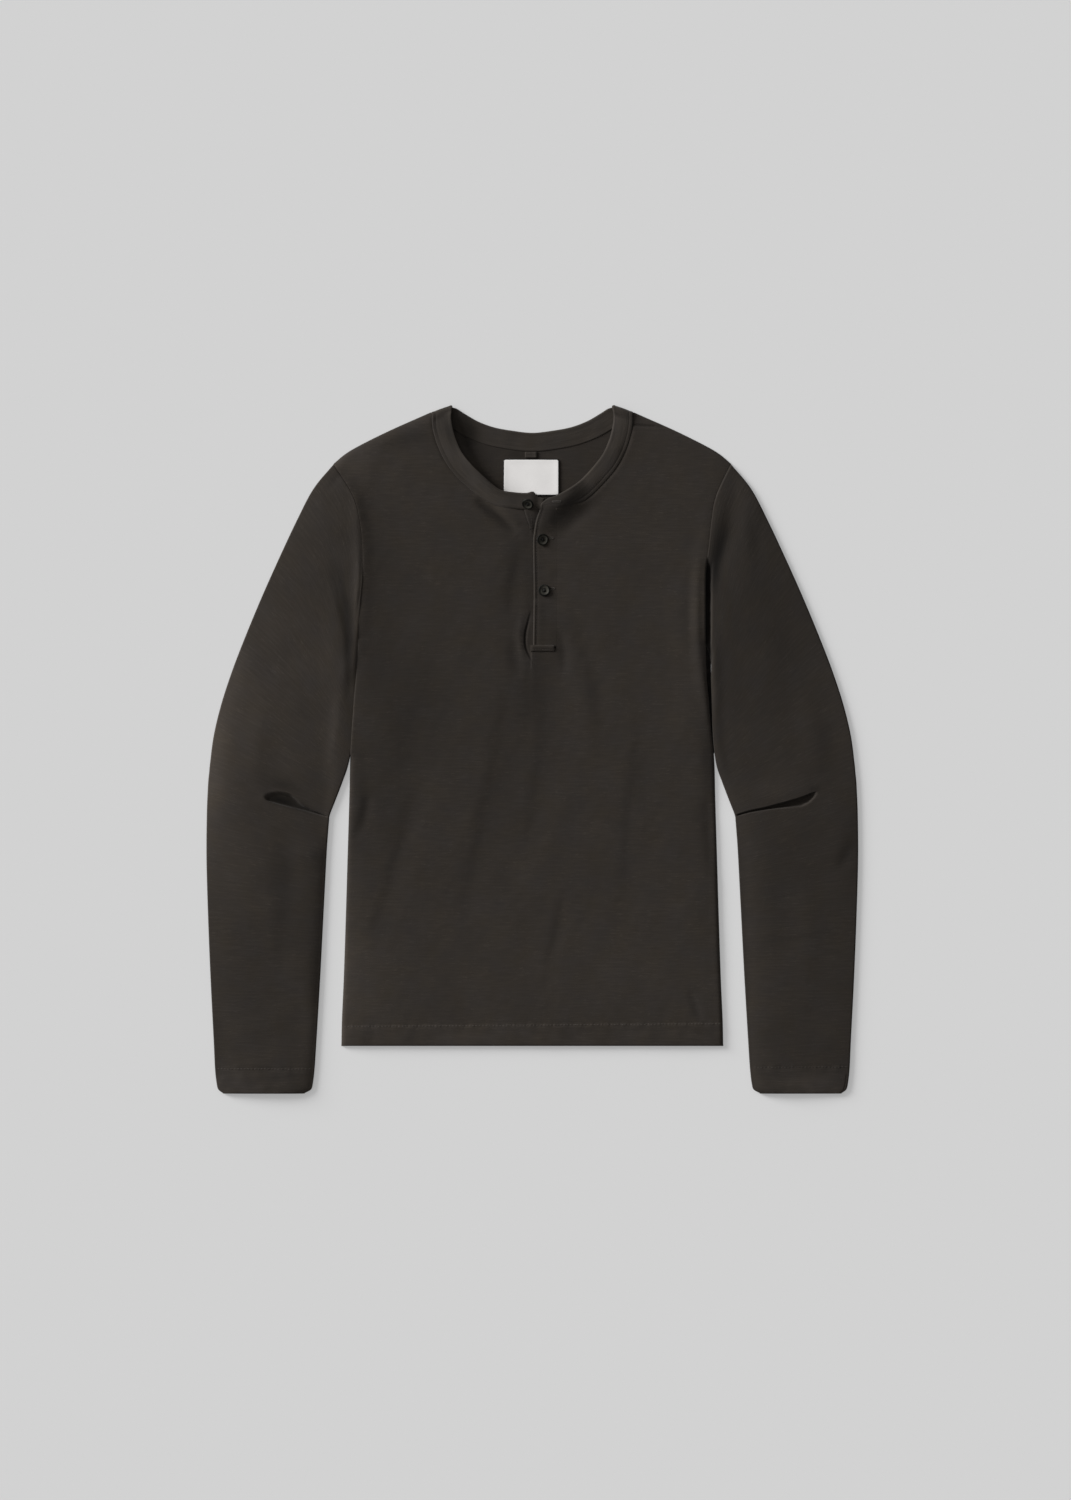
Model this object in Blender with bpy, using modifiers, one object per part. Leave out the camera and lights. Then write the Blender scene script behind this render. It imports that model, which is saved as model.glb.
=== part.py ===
"""Henley shirt with long sleeves, laid flat on its back, each cut piece a solid of its own.

All sizes below are in millimetres. +X is to the right, +Y towards the collar and +Z up, and
the origin is under the middle of the whole shirt, on the surface that it lies on.
"""

import math
from collections import namedtuple

import bmesh
import bpy
import numpy as np
from mathutils import Matrix, Vector
from mathutils.geometry import delaunay_2d_cdt

MM = 0.001

# Driving dimensions.
OVERALL_LENGTH = 653.5  # collar peaks to cuffs
BODY_LENGTH = 608.8  # high shoulder point to hem
TOP_Y = OVERALL_LENGTH / 2
HEM_Y = TOP_Y - BODY_LENGTH
CUFF_Y = -OVERALL_LENGTH / 2
HEM_DEPTH = 19.0
CUFF_DEPTH = 23.0
BUTTON_DIAMETER = 11.2

# The cloth, and how the layers lie on each other.
WALL = 1.2  # one layer with its nap
SEAM_GAP = 0.3  # between pieces that are sewn together
NECK_GAP = 0.5  # the same, measured level, where the neckband leans
BAND_WALL = 1.8  # the neckband is two layers
FRONT_REST = 1.6  # lowest level of the front panel's underside
FRONT_CROWN = 4.2  # level of the front panel's face where it lies plain
FOLD_ROOM = 0.9  # deepest trough of a fold
FOLD_EDGE = 3.4  # height of a sleeve at its folded edges
TURNED_STEP = 0.5  # how much thicker a turned hem is

Point = namedtuple("Point", "x y")
Side = namedtuple("Side", "y left right")
Section = namedtuple("Section", "outer_x outer_y inner_x inner_y top hollow steps")
NeckRow = namedtuple("NeckRow", "seam_x seam_y seam_z free_x free_y free_z")
Fold = namedtuple("Fold", "start mid end width height")
Tuck = namedtuple("Tuck", "inner_x inner_y outer_x outer_y depth lip reach")

# Half widths of the body: side seam below the underarm, armhole seam above it.
UNDERARM_Y = 100.0
SIDE_SEAM = [
    Side(HEM_Y, 181.5, 181.5),
    Side(-257.0, 181.0, 181.0),
    Side(-219.0, 179.3, 179.3),
    Side(-162.0, 177.4, 177.4),
    Side(-105.0, 175.7, 175.7),
    Side(-48.0, 174.0, 174.0),
    Side(-10.0, 173.1, 173.0),
    Side(17.0, 171.6, 170.2),
    Side(47.0, 169.5, 167.7),
    Side(71.0, 167.6, 165.6),
    Side(UNDERARM_Y, 166.4, 165.0),
]
ARMHOLE = [
    Side(UNDERARM_Y, 166.4, 165.0),
    Side(142.0, 163.7, 165.0),
    Side(170.0, 161.0, 165.4),
    Side(195.0, 161.3, 168.4),
    Side(216.0, 163.7, 170.5),
    Side(236.0, 168.3, 173.6),
    Side(252.0, 176.5, 179.8),
    Side(271.0, 189.2, 189.2),
]
ARMHOLE_POINTS = 12
FRONT_GRID = (12.0, 38.0)  # between the points of its face, and of its underside
BACK_GRID = (60.0, 60.0)
# Level gap between the body's side and the sleeve that lies beside it.
BESIDE_GAP = {"left": 0.6, "right": 2.8}

SHOULDER = [
    Point(189.2, 271.0),
    Point(178.0, 280.4),
    Point(163.7, 288.9),
    Point(135.0, 303.1),
    Point(96.7, 320.1),
]

# Sleeve sections from armhole to cuff, on the right. inner_x of None lies beside the body.
SLEEVE = [
    Section(189.6, 271.0, None, UNDERARM_Y, 4.2, 1.0, 2),
    Section(208.0, 247.5, None, 84.0, 4.6, 1.0, 2),
    Section(223.7, 217.7, None, 66.0, 4.8, 1.0, 1),
    Section(241.5, 179.7, None, 44.0, 4.8, 1.0, 1),
    Section(258.4, 141.7, None, 22.0, 4.7, 1.0, 1),
    Section(274.1, 103.7, None, 2.0, 4.6, 1.0, 1),
    Section(286.0, 72.5, 175.3, -16.5, 4.6, 1.0, 1),
    Section(296.0, 41.5, 180.5, -31.5, 4.7, 1.0, 1),
    Section(302.9, 12.5, 186.9, -48.3, 4.8, 1.0, 1),
    Section(306.4, -14.0, 191.0, -58.6, 4.8, 1.0, 1),
    Section(307.1, -21.5, 192.2, -62.0, 4.8, 1.0, 1),
    Section(307.6, -26.0, 192.9, -64.6, 4.8, 1.0, 1),
    Section(307.9, -29.0, 193.1, -67.3, 4.8, 1.0, 1),
    Section(308.4, -37.0, 193.7, -74.5, 4.9, 1.0, 1),
    Section(309.4, -62.0, 195.2, -95.0, 4.8, 1.0, 1),
    Section(309.7, -105.0, 196.8, -125.0, 4.6, 1.0, 1),
    Section(308.1, -162.0, 199.0, -168.0, 4.6, 1.0, 2),
    Section(305.8, -219.0, 201.8, -221.0, 4.6, 1.0, 2),
    Section(302.9, -276.0, 205.1, -276.5, 4.8, 1.2, 1),
    Section(301.6, CUFF_Y + CUFF_DEPTH, 206.9, CUFF_Y + CUFF_DEPTH, 5.4, 1.8, 1),
    Section(300.0, -318.0, 208.6, -318.0, 5.6, 2.2, 1),
    Section(298.4, -323.6, 210.4, -323.6, 5.4, 2.2, 1),
    Section(294.3, CUFF_Y, 216.0, CUFF_Y, 5.2, 2.2, 0),
]
STRAIGHT_FROM = 8  # the section from which the sleeve's sections are straight across
EDGE_SLOPE = 9.0  # how far in from a folded edge a sleeve reaches its full height

# The neckband's sections: from the overlap's end over the right shoulder, along the back,
# and over the left shoulder to the underlap's end. Heights are of its middle.
BAND_BACK_Z = BAND_WALL / 2
BAND_FRONT_Z = 4.2
BAND_RIGHT = [
    NeckRow(6.6, 227.9, 4.3, 8.6, 233.6, 4.3),
    NeckRow(11.5, 227.7, 4.3, 14.5, 238.2, 4.5),
    NeckRow(21.0, 227.7, 4.2, 22.5, 241.0, 4.9),
    NeckRow(32.7, 228.8, 4.0, 31.0, 245.5, 5.3),
    NeckRow(45.0, 233.0, 3.9, 39.5, 250.9, 5.9),
    NeckRow(56.5, 241.0, 3.9, 47.5, 257.5, 6.7),
    NeckRow(70.0, 254.7, 3.9, 58.5, 269.5, 7.5),
    NeckRow(81.0, 268.5, 3.9, 67.0, 281.0, 8.0),
    NeckRow(89.5, 285.0, 3.9, 73.2, 295.3, 7.8),
    NeckRow(94.0, 300.0, 3.9, 76.3, 308.5, 6.6),
    NeckRow(95.5, 310.5, 4.1, 77.0, 317.8, 5.0),
]
BAND_LEFT = [
    NeckRow(-95.3, 310.5, 4.1, -77.0, 317.8, 5.0),
    NeckRow(-93.6, 300.0, 3.9, -76.3, 308.5, 6.6),
    NeckRow(-89.0, 286.0, 3.9, -73.2, 295.3, 7.8),
    NeckRow(-81.0, 270.5, 3.9, -67.5, 281.0, 8.0),
    NeckRow(-70.6, 257.6, 3.9, -59.0, 268.4, 7.5),
    NeckRow(-57.0, 245.5, 3.9, -47.8, 257.3, 6.7),
    NeckRow(-44.0, 236.2, 3.9, -38.0, 250.5, 5.9),
    NeckRow(-31.6, 230.2, 3.9, -28.8, 245.7, 5.2),
    NeckRow(-17.4, 228.6, 3.8, -14.3, 243.1, 4.6),
    NeckRow(-7.0, 227.8, 3.8, -5.5, 242.8, 4.4),
    NeckRow(-0.5, 227.9, 3.8, 0.8, 244.0, 4.3),
    NeckRow(5.9, 227.9, 3.8, 5.2, 240.2, 4.1),
]
# The half of the band that lies along the back of the neck, right side, centre last.
BAND_BACK = [
    NeckRow(86.0, 311.3, BAND_BACK_Z, 71.5, 323.6, BAND_BACK_Z),
    NeckRow(74.5, 303.2, BAND_BACK_Z, 64.1, 318.9, BAND_BACK_Z),
    NeckRow(60.6, 295.5, BAND_BACK_Z, 51.5, 311.7, BAND_BACK_Z),
    NeckRow(42.6, 288.9, BAND_BACK_Z, 36.5, 306.2, BAND_BACK_Z),
    NeckRow(22.0, 284.8, BAND_BACK_Z, 19.5, 303.0, BAND_BACK_Z),
    NeckRow(0.0, 282.7, BAND_BACK_Z, 0.0, 300.9, BAND_BACK_Z),
]
# Where the band folds over at the shoulder, on the right.
FOLD_SEAM_END = Point(96.2, 320.3)
FOLD_FREE_END = Point(76.3, TOP_Y + 0.45)  # the band's round edge brings it back to TOP_Y
FOLD_STEPS = 4

# The placket: a box in the front, its overlap on top, its underlap below.
PLACKET_TOP = 227.4
PLACKET_BOTTOM = 97.0
PLACKET_SEAM_X = 22.3  # where the overlap is sewn on
OVERLAP_EDGE = [
    Point(6.9, PLACKET_TOP),
    Point(3.4, 217.0),
    Point(1.5, 205.0),
    Point(0.7, 194.0),
    Point(1.3, 150.0),
    Point(0.6, PLACKET_BOTTOM),
]
UNDERLAP_SEAM = [
    Point(-8.4, PLACKET_TOP),
    Point(-5.0, 217.0),
    Point(-1.8, 207.0),
    Point(-1.3, 194.0),
    Point(-1.0, PLACKET_BOTTOM),
]
UNDERLAP_WIDTH = 20.0
UNDERLAP_Z = 1.5
OVERLAP_Z = 3.0
OVERLAP_CROWN = 0.3
TACK = {"x0": -3.4, "x1": 21.3, "y0": 92.9, "y1": 98.9, "wall": 1.2}

LABEL = {"x0": -28.2, "x1": 26.0, "y0": 239.7, "y1": 276.6, "z0": 1.5, "wall": 1.0}
LOOP = {"x0": -7.0, "x1": 4.6, "y0": 277.1, "y1": 282.0, "z0": 1.5, "wall": 1.0}

Button = namedtuple("Button", "name x y z tilt")
BUTTON_HEIGHT = 2.4
HOLE_RADIUS = 0.75
HOLE_OFFSET = 1.55  # from the middle of the button to that of each thread hole
BUTTONS = [
    Button("button_top", -4.1, 233.4, 7.2, 22.0),
    Button("button_middle", 9.9, 199.0, 5.0, 0.0),
    Button("button_bottom", 11.3, 150.9, 5.0, 0.0),
]

# The largest folds, each a soft trough (below 0) or ridge along a curve through three points.
FRONT_FOLDS = [
    Fold(Point(-117.0, -52.0), Point(-136.0, -112.0), Point(-154.0, -178.0), 11.0, -0.8),
    Fold(Point(-100.0, -60.0), Point(-117.0, -118.0), Point(-132.0, -180.0), 12.0, 0.6),
    Fold(Point(-30.0, 56.0), Point(-47.0, -40.0), Point(-75.0, -146.0), 13.0, -0.8),
    Fold(Point(-8.0, 40.0), Point(-22.0, -50.0), Point(-48.0, -140.0), 14.0, 0.6),
    Fold(Point(22.0, -152.0), Point(18.0, -188.0), Point(0.0, -222.0), 10.0, -0.7),
    Fold(Point(102.0, 16.0), Point(92.0, -50.0), Point(83.0, -120.0), 12.0, -0.7),
    Fold(Point(122.0, 20.0), Point(113.0, -50.0), Point(104.0, -118.0), 14.0, 0.5),
    Fold(Point(47.0, 116.0), Point(58.0, 66.0), Point(61.0, 12.0), 10.0, -0.5),
    Fold(Point(-42.0, 226.0), Point(-27.0, 216.0), Point(-14.0, 203.0), 7.0, -0.6),
    Fold(Point(46.0, 231.0), Point(30.0, 221.0), Point(17.0, 206.0), 7.0, -0.6),
]
SLEEVE_FOLDS = {
    "left": [
        Fold(Point(-178.0, 246.0), Point(-168.0, 190.0), Point(-170.0, 110.0), 7.0, 0.9),
        Fold(Point(-185.0, 160.0), Point(-178.0, 100.0), Point(-175.0, 10.0), 7.0, -0.7),
        Fold(Point(-254.0, 60.0), Point(-262.0, 10.0), Point(-262.0, -34.0), 13.0, 0.5),
    ],
    "right": [
        Fold(Point(192.0, 220.0), Point(181.0, 195.0), Point(172.0, 165.0), 7.0, -0.8),
        Fold(Point(212.0, 232.0), Point(213.0, 204.0), Point(211.0, 176.0), 9.0, -0.5),
        Fold(Point(258.0, 60.0), Point(268.0, 10.0), Point(270.0, -24.0), 13.0, 0.5),
    ],
}
# The tuck at each elbow, from the sleeve's inner edge outwards.
TUCKS = {
    "left": Tuck(-191.0, -63.6, -253.0, -40.5, 1.3, 0.6, 11.0),
    "right": Tuck(191.0, -64.6, 269.0, -39.0, 1.3, 0.6, 9.0),
}

CLOTH = {"color": (0.036, 0.031, 0.027), "roughness": 0.95}
TRIM = {"color": (0.040, 0.034, 0.030), "roughness": 0.95}
LABEL_CLOTH = {"color": (0.72, 0.71, 0.69), "roughness": 0.6}
BUTTON_RESIN = {"color": (0.020, 0.018, 0.016), "roughness": 0.35}


# Curves and distances.


def spline(points, steps):
    """Points on a smooth curve through the given ones, steps of them for each span."""
    rows = np.array(points, float)
    before = 2 * rows[0] - rows[1]
    after = 2 * rows[-1] - rows[-2]
    padded = np.vstack([before, rows, after])
    counts = [steps] * (len(rows) - 1) if isinstance(steps, int) else steps
    curve = []
    for i, count in enumerate(counts):
        a, b, c, d = padded[i : i + 4]
        for t in np.arange(count) / count:
            bend = (2 * a - 5 * b + 4 * c - d) * t**2 + (3 * b - a - 3 * c + d) * t**3
            curve.append(b + ((c - a) * t + bend) / 2)
    curve.append(rows[-1])
    return np.array(curve)


def even_points(curve, count):
    """count points at even distances along a polyline, its ends among them."""
    steps = np.linalg.norm(np.diff(curve, axis=0), axis=1)
    along = np.concatenate([[0], np.cumsum(steps)])
    wanted = np.linspace(0, along[-1], count)
    return np.column_stack([np.interp(wanted, along, curve[:, k]) for k in (0, 1)])


def nearest(points, curve):
    """For each point: its distance to a polyline, and how far along it that is, from 0 to 1."""
    starts, spans = curve[:-1], np.diff(curve, axis=0)
    squared = (spans**2).sum(axis=1)
    offsets = points[:, None, :] - starts[None]
    t = np.clip((offsets * spans).sum(axis=2) / squared, 0, 1)
    gaps = np.linalg.norm(offsets - t[..., None] * spans, axis=2)
    best = gaps.argmin(axis=1)
    rows = np.arange(len(points))
    along = (best + t[rows, best]) / len(spans)
    return gaps[rows, best], along


def fold_relief(points, folds):
    """The height that the folds add at each point."""
    relief = np.zeros(len(points))
    for fold in folds:
        distance, along = nearest(points, spline([fold.start, fold.mid, fold.end], 4))
        taper = np.sin(np.pi * np.clip(along, 0, 1)) ** 0.6
        relief += fold.height * taper * np.exp(-((distance / fold.width) ** 2))
    return relief


# Outlines.


def side_of(rows, side):
    sign = -1 if side == "left" else 1
    return [(sign * getattr(row, side), row.y) for row in rows]


def armhole(side):
    """The armhole seam from the shoulder to the underarm, in even steps."""
    curve = spline(side_of(ARMHOLE, side), 4)
    return even_points(curve[::-1], ARMHOLE_POINTS)


def body_edge(side):
    """A side of the body, from the hem to the shoulder's end at the neck."""
    sign = -1 if side == "left" else 1
    seam = spline(side_of(SIDE_SEAM, side), 1)
    shoulder = spline([(sign * p.x, p.y) for p in SHOULDER], 2)
    return np.vstack([seam[:-1], armhole(side)[::-1], shoulder[1:]])


def body_half_width(side, y):
    rows = np.array([(row.y, getattr(row, side)) for row in SIDE_SEAM])
    return np.interp(y, rows[:, 0], rows[:, 1])


def mirrored(row):
    return row._replace(seam_x=-row.seam_x, free_x=-row.free_x)


def band_fold(sign):
    """The band's sections where it turns over at a shoulder, round a level line, face first."""
    seam = np.array([sign * FOLD_SEAM_END.x, FOLD_SEAM_END.y])
    free = np.array([sign * FOLD_FREE_END.x, FOLD_FREE_END.y])
    run = (free - seam) / np.linalg.norm(free - seam)
    outward = np.array([-run[1], run[0]])
    outward *= 1 if outward[1] > 0 else -1
    centre_z = (BAND_FRONT_Z + BAND_BACK_Z) / 2
    turn = (BAND_FRONT_Z - BAND_BACK_Z) / 2
    axis_inset = turn + BAND_WALL / 2
    rows = []
    for k in range(FOLD_STEPS + 1):
        angle = math.radians(90 - 180 * k / FOLD_STEPS)
        move = outward * (turn * math.cos(angle) - axis_inset)
        z = centre_z + turn * math.sin(angle)
        rows.append(NeckRow(*(seam + move), z, *(free + move), z))
    return rows


def neckline(rows, gap):
    """The panel's edge beside the band's seam, moved out by the gap."""
    curve = np.array([(row.seam_x, row.seam_y) for row in rows])
    inward = np.array([(row.free_x - row.seam_x, row.free_y - row.seam_y) for row in rows])
    inward /= np.linalg.norm(inward, axis=1)[:, None]
    return curve - gap * inward


def front_outline():
    right, left = body_edge("right"), body_edge("left")
    neck_right = neckline(BAND_RIGHT + band_fold(1)[:1], NECK_GAP)
    neck_left = neckline(band_fold(-1)[:1] + BAND_LEFT, NECK_GAP)
    neck_right = neck_right[neck_right[:, 0] > PLACKET_SEAM_X + 4]
    neck_left = neck_left[neck_left[:, 0] < UNDERLAP_SEAM[0].x - 4]
    slit_left = spline(UNDERLAP_SEAM, 2)
    slit_right = [(PLACKET_SEAM_X, y) for y in np.linspace(PLACKET_BOTTOM, PLACKET_TOP, 9)]
    hem = [(x, HEM_Y) for x in np.linspace(181.5, -181.5, 25)][1:-1]
    return np.vstack([right[::-1], hem, left, neck_left, slit_left, slit_right, neck_right])


def back_outline():
    right, left = body_edge("right"), body_edge("left")
    seam_rows = band_fold(1)[-1:] + BAND_BACK
    seam_rows += [mirrored(row) for row in seam_rows[-2::-1]]
    hem = [(x, HEM_Y) for x in np.linspace(181.5, -181.5, 13)][1:-1]
    return np.vstack([right[::-1], hem, left, neckline(seam_rows, SEAM_GAP)[::-1]])


# Heights of the panels.


def edge_drop(points, curve, drop, reach):
    """How much lower the cloth lies near an edge that it folds or is sewn down at."""
    distance, _ = nearest(points, curve)
    return drop * np.exp(-((distance / reach) ** 1.3))


def back_underside(points):
    return np.zeros(len(points))


def back_face(points):
    return np.full(len(points), WALL)


def front_crown(points):
    level = np.full(len(points), FRONT_CROWN)
    for side in ("left", "right"):
        sign = -1 if side == "left" else 1
        seam = np.array(side_of(SIDE_SEAM, side))
        shoulder = np.array([(sign * p.x, p.y) for p in SHOULDER])
        level -= edge_drop(points, seam, 1.3, 9.0)
        level -= edge_drop(points, armhole(side), 0.5, 8.0)
        level -= edge_drop(points, shoulder, 1.2, 8.0)
    hem = np.array([(-181.5, HEM_Y), (181.5, HEM_Y)])
    level -= edge_drop(points, hem, 0.7, 14.0)
    slit = np.array(UNDERLAP_SEAM)
    left_of_slit = points[:, 0] < 5
    level -= np.where(left_of_slit, edge_drop(points, slit, 0.8, 16.0), 0)
    return np.maximum(level, FRONT_REST + WALL)


def front_underside(points):
    return np.maximum(front_crown(points) - WALL - FOLD_ROOM, FRONT_REST)


def front_face(points):
    hem_step = TURNED_STEP * (points[:, 1] < HEM_Y + HEM_DEPTH)
    face = front_crown(points) + fold_relief(points, FRONT_FOLDS) + hem_step
    return np.maximum(face, front_underside(points) + WALL)


# Building meshes.


def add_material(obj, look):
    material = bpy.data.materials.new(obj.name)
    material.use_nodes = True
    shader = material.node_tree.nodes["Principled BSDF"]
    shader.inputs["Base Color"].default_value = (*look["color"], 1)
    shader.inputs["Roughness"].default_value = look["roughness"]
    shader.inputs["Metallic"].default_value = 0
    obj.data.materials.append(material)


def add_object(name, mesh, collection, look):
    obj = bpy.data.objects.new(name, mesh)
    collection.objects.link(obj)
    add_material(obj, look)
    return obj


def mesh_of(name, verts, faces):
    """A mesh in metres from points in millimetres, its faces turned outwards."""
    mesh = bpy.data.meshes.new(name)
    mesh.from_pydata([tuple(MM * float(c) for c in v) for v in verts], [], faces)
    bm = bmesh.new()
    bm.from_mesh(mesh)
    bmesh.ops.recalc_face_normals(bm, faces=bm.faces)
    bm.to_mesh(mesh)
    bm.free()
    mesh.shade_smooth()
    mesh.set_sharp_from_angle(angle=math.radians(40))
    return mesh


def grid_inside(outline, step, clear):
    """Points of a staggered grid that lie inside an outline, clear of its edge."""
    low, high = outline.min(axis=0), outline.max(axis=0)
    columns = np.arange(low[0] + step / 2, high[0], step)
    lines = np.arange(low[1] + step / 2, high[1], step)
    points = np.array([(x + (i % 2) * step / 2, y) for i, y in enumerate(lines) for x in columns])
    ends = np.roll(outline, -1, axis=0)
    inside = np.zeros(len(points), bool)
    for (x0, y0), (x1, y1) in zip(outline, ends):
        crosses = (points[:, 1] < y0) != (points[:, 1] < y1)
        if y0 != y1:
            at = x0 + (points[:, 1] - y0) * (x1 - x0) / (y1 - y0)
            inside ^= crosses & (points[:, 0] < at)
    distance, _ = nearest(points, np.vstack([outline, outline[:1]]))
    return points[inside & (distance > clear)]


def triangles(outline, inner):
    """Triangles that fill an outline and use the inner points, each turned up."""
    points = [Vector(p) for p in np.vstack([outline, inner])]
    loop = list(range(len(outline)))
    edges = [(i, (i + 1) % len(outline)) for i in loop]
    found = delaunay_2d_cdt(points, edges, [loop], 1, 1e-6)
    flat, faces = found[0], found[2]
    upward = []
    for a, b, c in faces:
        turn = (flat[b] - flat[a]).cross(flat[c] - flat[a])
        upward.append((a, b, c) if turn > 0 else (a, c, b))
    return upward


def panel(name, outline, face, underside, steps):
    """A cut piece: face and underside are heights, steps the grid sizes of the two."""
    inner_top = grid_inside(outline, steps[0], steps[0] * 0.45)
    inner_low = grid_inside(outline, steps[1], steps[1] * 0.3)
    top = np.vstack([outline, inner_top])
    low = np.vstack([outline, inner_low])
    verts = np.vstack(
        [np.column_stack([top, face(top)]), np.column_stack([low, underside(low)])]
    )
    shift = len(top)
    faces = triangles(outline, inner_top)
    faces += [(c + shift, b + shift, a + shift) for a, b, c in triangles(outline, inner_low)]
    count = len(outline)
    for i in range(count):
        j = (i + 1) % count
        faces.append((i, j, j + shift, i + shift))
    return mesh_of(name, verts, faces)


def loft(rings, closed_ends=True):
    """A closed solid through rings of equally many points."""
    count = len(rings[0])
    verts = [point for ring in rings for point in ring]
    faces = []
    for k in range(len(rings) - 1):
        for i in range(count):
            j = (i + 1) % count
            a, b = k * count, (k + 1) * count
            faces.append((a + i, a + j, b + j, b + i))
    if closed_ends:
        faces.append(tuple(range(count)))
        faces.append(tuple(range((len(rings) - 1) * count, len(verts))))
    return verts, faces


# Sleeves.


def tuck_relief(points, tuck):
    """The upper sleeve dives under the forearm's edge along a line across the elbow."""
    start = np.array([tuck.inner_x, tuck.inner_y])
    end = np.array([tuck.outer_x, tuck.outer_y])
    run = end - start
    length = np.linalg.norm(run)
    offsets = points - start
    along = offsets @ run / length**2
    below = (offsets[:, 0] * run[1] - offsets[:, 1] * run[0]) / length
    below *= 1 if tuck.outer_x > 0 else -1
    fade = np.clip((1.08 - along) / 0.25, 0, 1)
    width = np.where(below < 0, tuck.reach, 2.0)
    groove = -tuck.depth * np.exp(-((below / width) ** 2))
    lip = tuck.lip * (1 - np.exp(-((below / 2.0) ** 2))) * np.exp(-((below / 10.0) ** 2))
    return fade * (groove + np.where(below > 0, lip, 0))


def sleeve_stations(side):
    """The ends, height and hollow of each ring, from the table of sections."""
    sign = -1 if side == "left" else 1
    rows = []
    for row in SLEEVE:
        inner_x = row.inner_x
        if inner_x is None:
            inner_x = body_half_width(side, row.inner_y) + BESIDE_GAP[side]
        rows.append((sign * row.outer_x, row.outer_y, sign * inner_x, row.inner_y, row.top, row.hollow))
    start = armhole(side)
    rows[0] = (*start[0], *start[-1], rows[0][4], rows[0][5])
    return spline(rows, [row.steps for row in SLEEVE[:-1]])


def across(station, seam, bow, fractions):
    """Points across the sleeve, bowed near the armhole as its seam is."""
    outer, inner = station[0:2], station[2:4]
    straight = outer + fractions[:, None] * (inner - outer)
    spots = np.linspace(0, 1, len(seam))
    chord = seam[0] + fractions[:, None] * (seam[-1] - seam[0])
    on_seam = np.column_stack([np.interp(fractions, spots, seam[:, k]) for k in (0, 1)])
    return straight + bow * (on_seam - chord)


def sleeve_height(points, inset, width, top, side):
    """The sleeve's upper face, inset being the distance from its outer folded edge."""
    rise = (1 - np.exp(-inset / EDGE_SLOPE)) * (1 - np.exp(-(width - inset) / EDGE_SLOPE))
    height = FOLD_EDGE + (top - FOLD_EDGE) * rise
    height += fold_relief(points, SLEEVE_FOLDS[side]) * rise
    height += tuck_relief(points, TUCKS[side])
    return np.maximum(height, FOLD_EDGE)


def sleeve_ring(station, seam, bow, side, inside):
    """One ring: along the face from the outer edge to the inner one, and back underneath."""
    width = np.linalg.norm(station[2:4] - station[0:2])
    radius = FOLD_EDGE / 2
    reach = radius - WALL if inside else radius
    turn = np.radians([0, 45, 90])
    arc = radius - reach * np.cos(turn)
    lift = reach * np.sin(turn)
    middle = np.linspace(0, 1, ARMHOLE_POINTS)[1:-1] * width
    inset = np.concatenate([arc, middle, width - arc[::-1]])
    points = across(station, seam, bow, inset / width)
    if inside:
        face = np.full(len(middle), WALL + station[5])
        floor = np.full(len(middle), WALL)
    else:
        face = sleeve_height(points[3:-3], middle, width, station[4], side)
        floor = np.zeros(len(middle))
    top = np.concatenate([radius + lift, face, radius + lift[::-1]])
    low = np.concatenate([radius - lift[1:], floor, radius - lift[:0:-1]])
    upper = np.column_stack([points, top])
    lower = np.column_stack([points[1:-1], low])
    return np.vstack([upper, lower[::-1]])


def sleeve(name, side, collection):
    stations = sleeve_stations(side)
    seam = armhole(side)
    sign = -1 if side == "left" else 1
    seam = seam + np.array([sign * SEAM_GAP, 0])
    stations[0, 0:2], stations[0, 2:4] = seam[0], seam[-1]
    counts = [row.steps for row in SLEEVE[:STRAIGHT_FROM]]
    bowed = sum(counts)
    bows = np.clip(1 - np.arange(len(stations)) / bowed, 0, 1) ** 1.5
    outside = [sleeve_ring(s, seam, b, side, False) for s, b in zip(stations, bows)]
    kept = sorted(set(range(0, len(stations), 2)) | {len(stations) - 1})
    inside = [sleeve_ring(stations[k], seam, bows[k], side, True) for k in kept]
    verts, faces = loft(outside, closed_ends=False)
    inner_verts, inner_faces = loft(inside, closed_ends=False)
    count, shift = len(outside[0]), len(verts)
    faces += [tuple(i + shift for i in face) for face in inner_faces]
    ends = [(0, shift), ((len(outside) - 1) * count, shift + (len(inside) - 1) * count)]
    for outer_start, inner_start in ends:
        for i in range(count):
            j = (i + 1) % count
            faces.append((outer_start + i, outer_start + j, inner_start + j, inner_start + i))
    add_object(name, mesh_of(name, verts + inner_verts, faces), collection, CLOTH)


# The neckband.


def band_rows():
    over_right, over_left = band_fold(1), band_fold(-1)
    back_left = [mirrored(row) for row in BAND_BACK[-2::-1]]
    return BAND_RIGHT + over_right + BAND_BACK + back_left + over_left[::-1] + BAND_LEFT


def neckband(collection):
    rows = np.array(band_rows())
    seam, free = rows[:, 0:3], rows[:, 3:6]
    middle = (seam + free) / 2
    tangent = np.gradient(middle, axis=0)
    width = free - seam
    normal = np.cross(tangent, width)
    normal /= np.linalg.norm(normal, axis=1)[:, None]
    half = BAND_WALL / 2
    profile = [(0.0, 1.0), (0.5, 1.0), (0.93, 1.0), (1.0, 0.0), (0.93, -1.0), (0.5, -1.0), (0.0, -1.0)]
    rings = []
    for s, w, n in zip(seam, width, normal):
        rings.append([s + share * w + side * half * n for share, side in profile])
    verts, faces = loft(rings)
    add_object("neckband", mesh_of("neckband", verts, faces), collection, TRIM)


# Placket, label and buttons.


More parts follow.
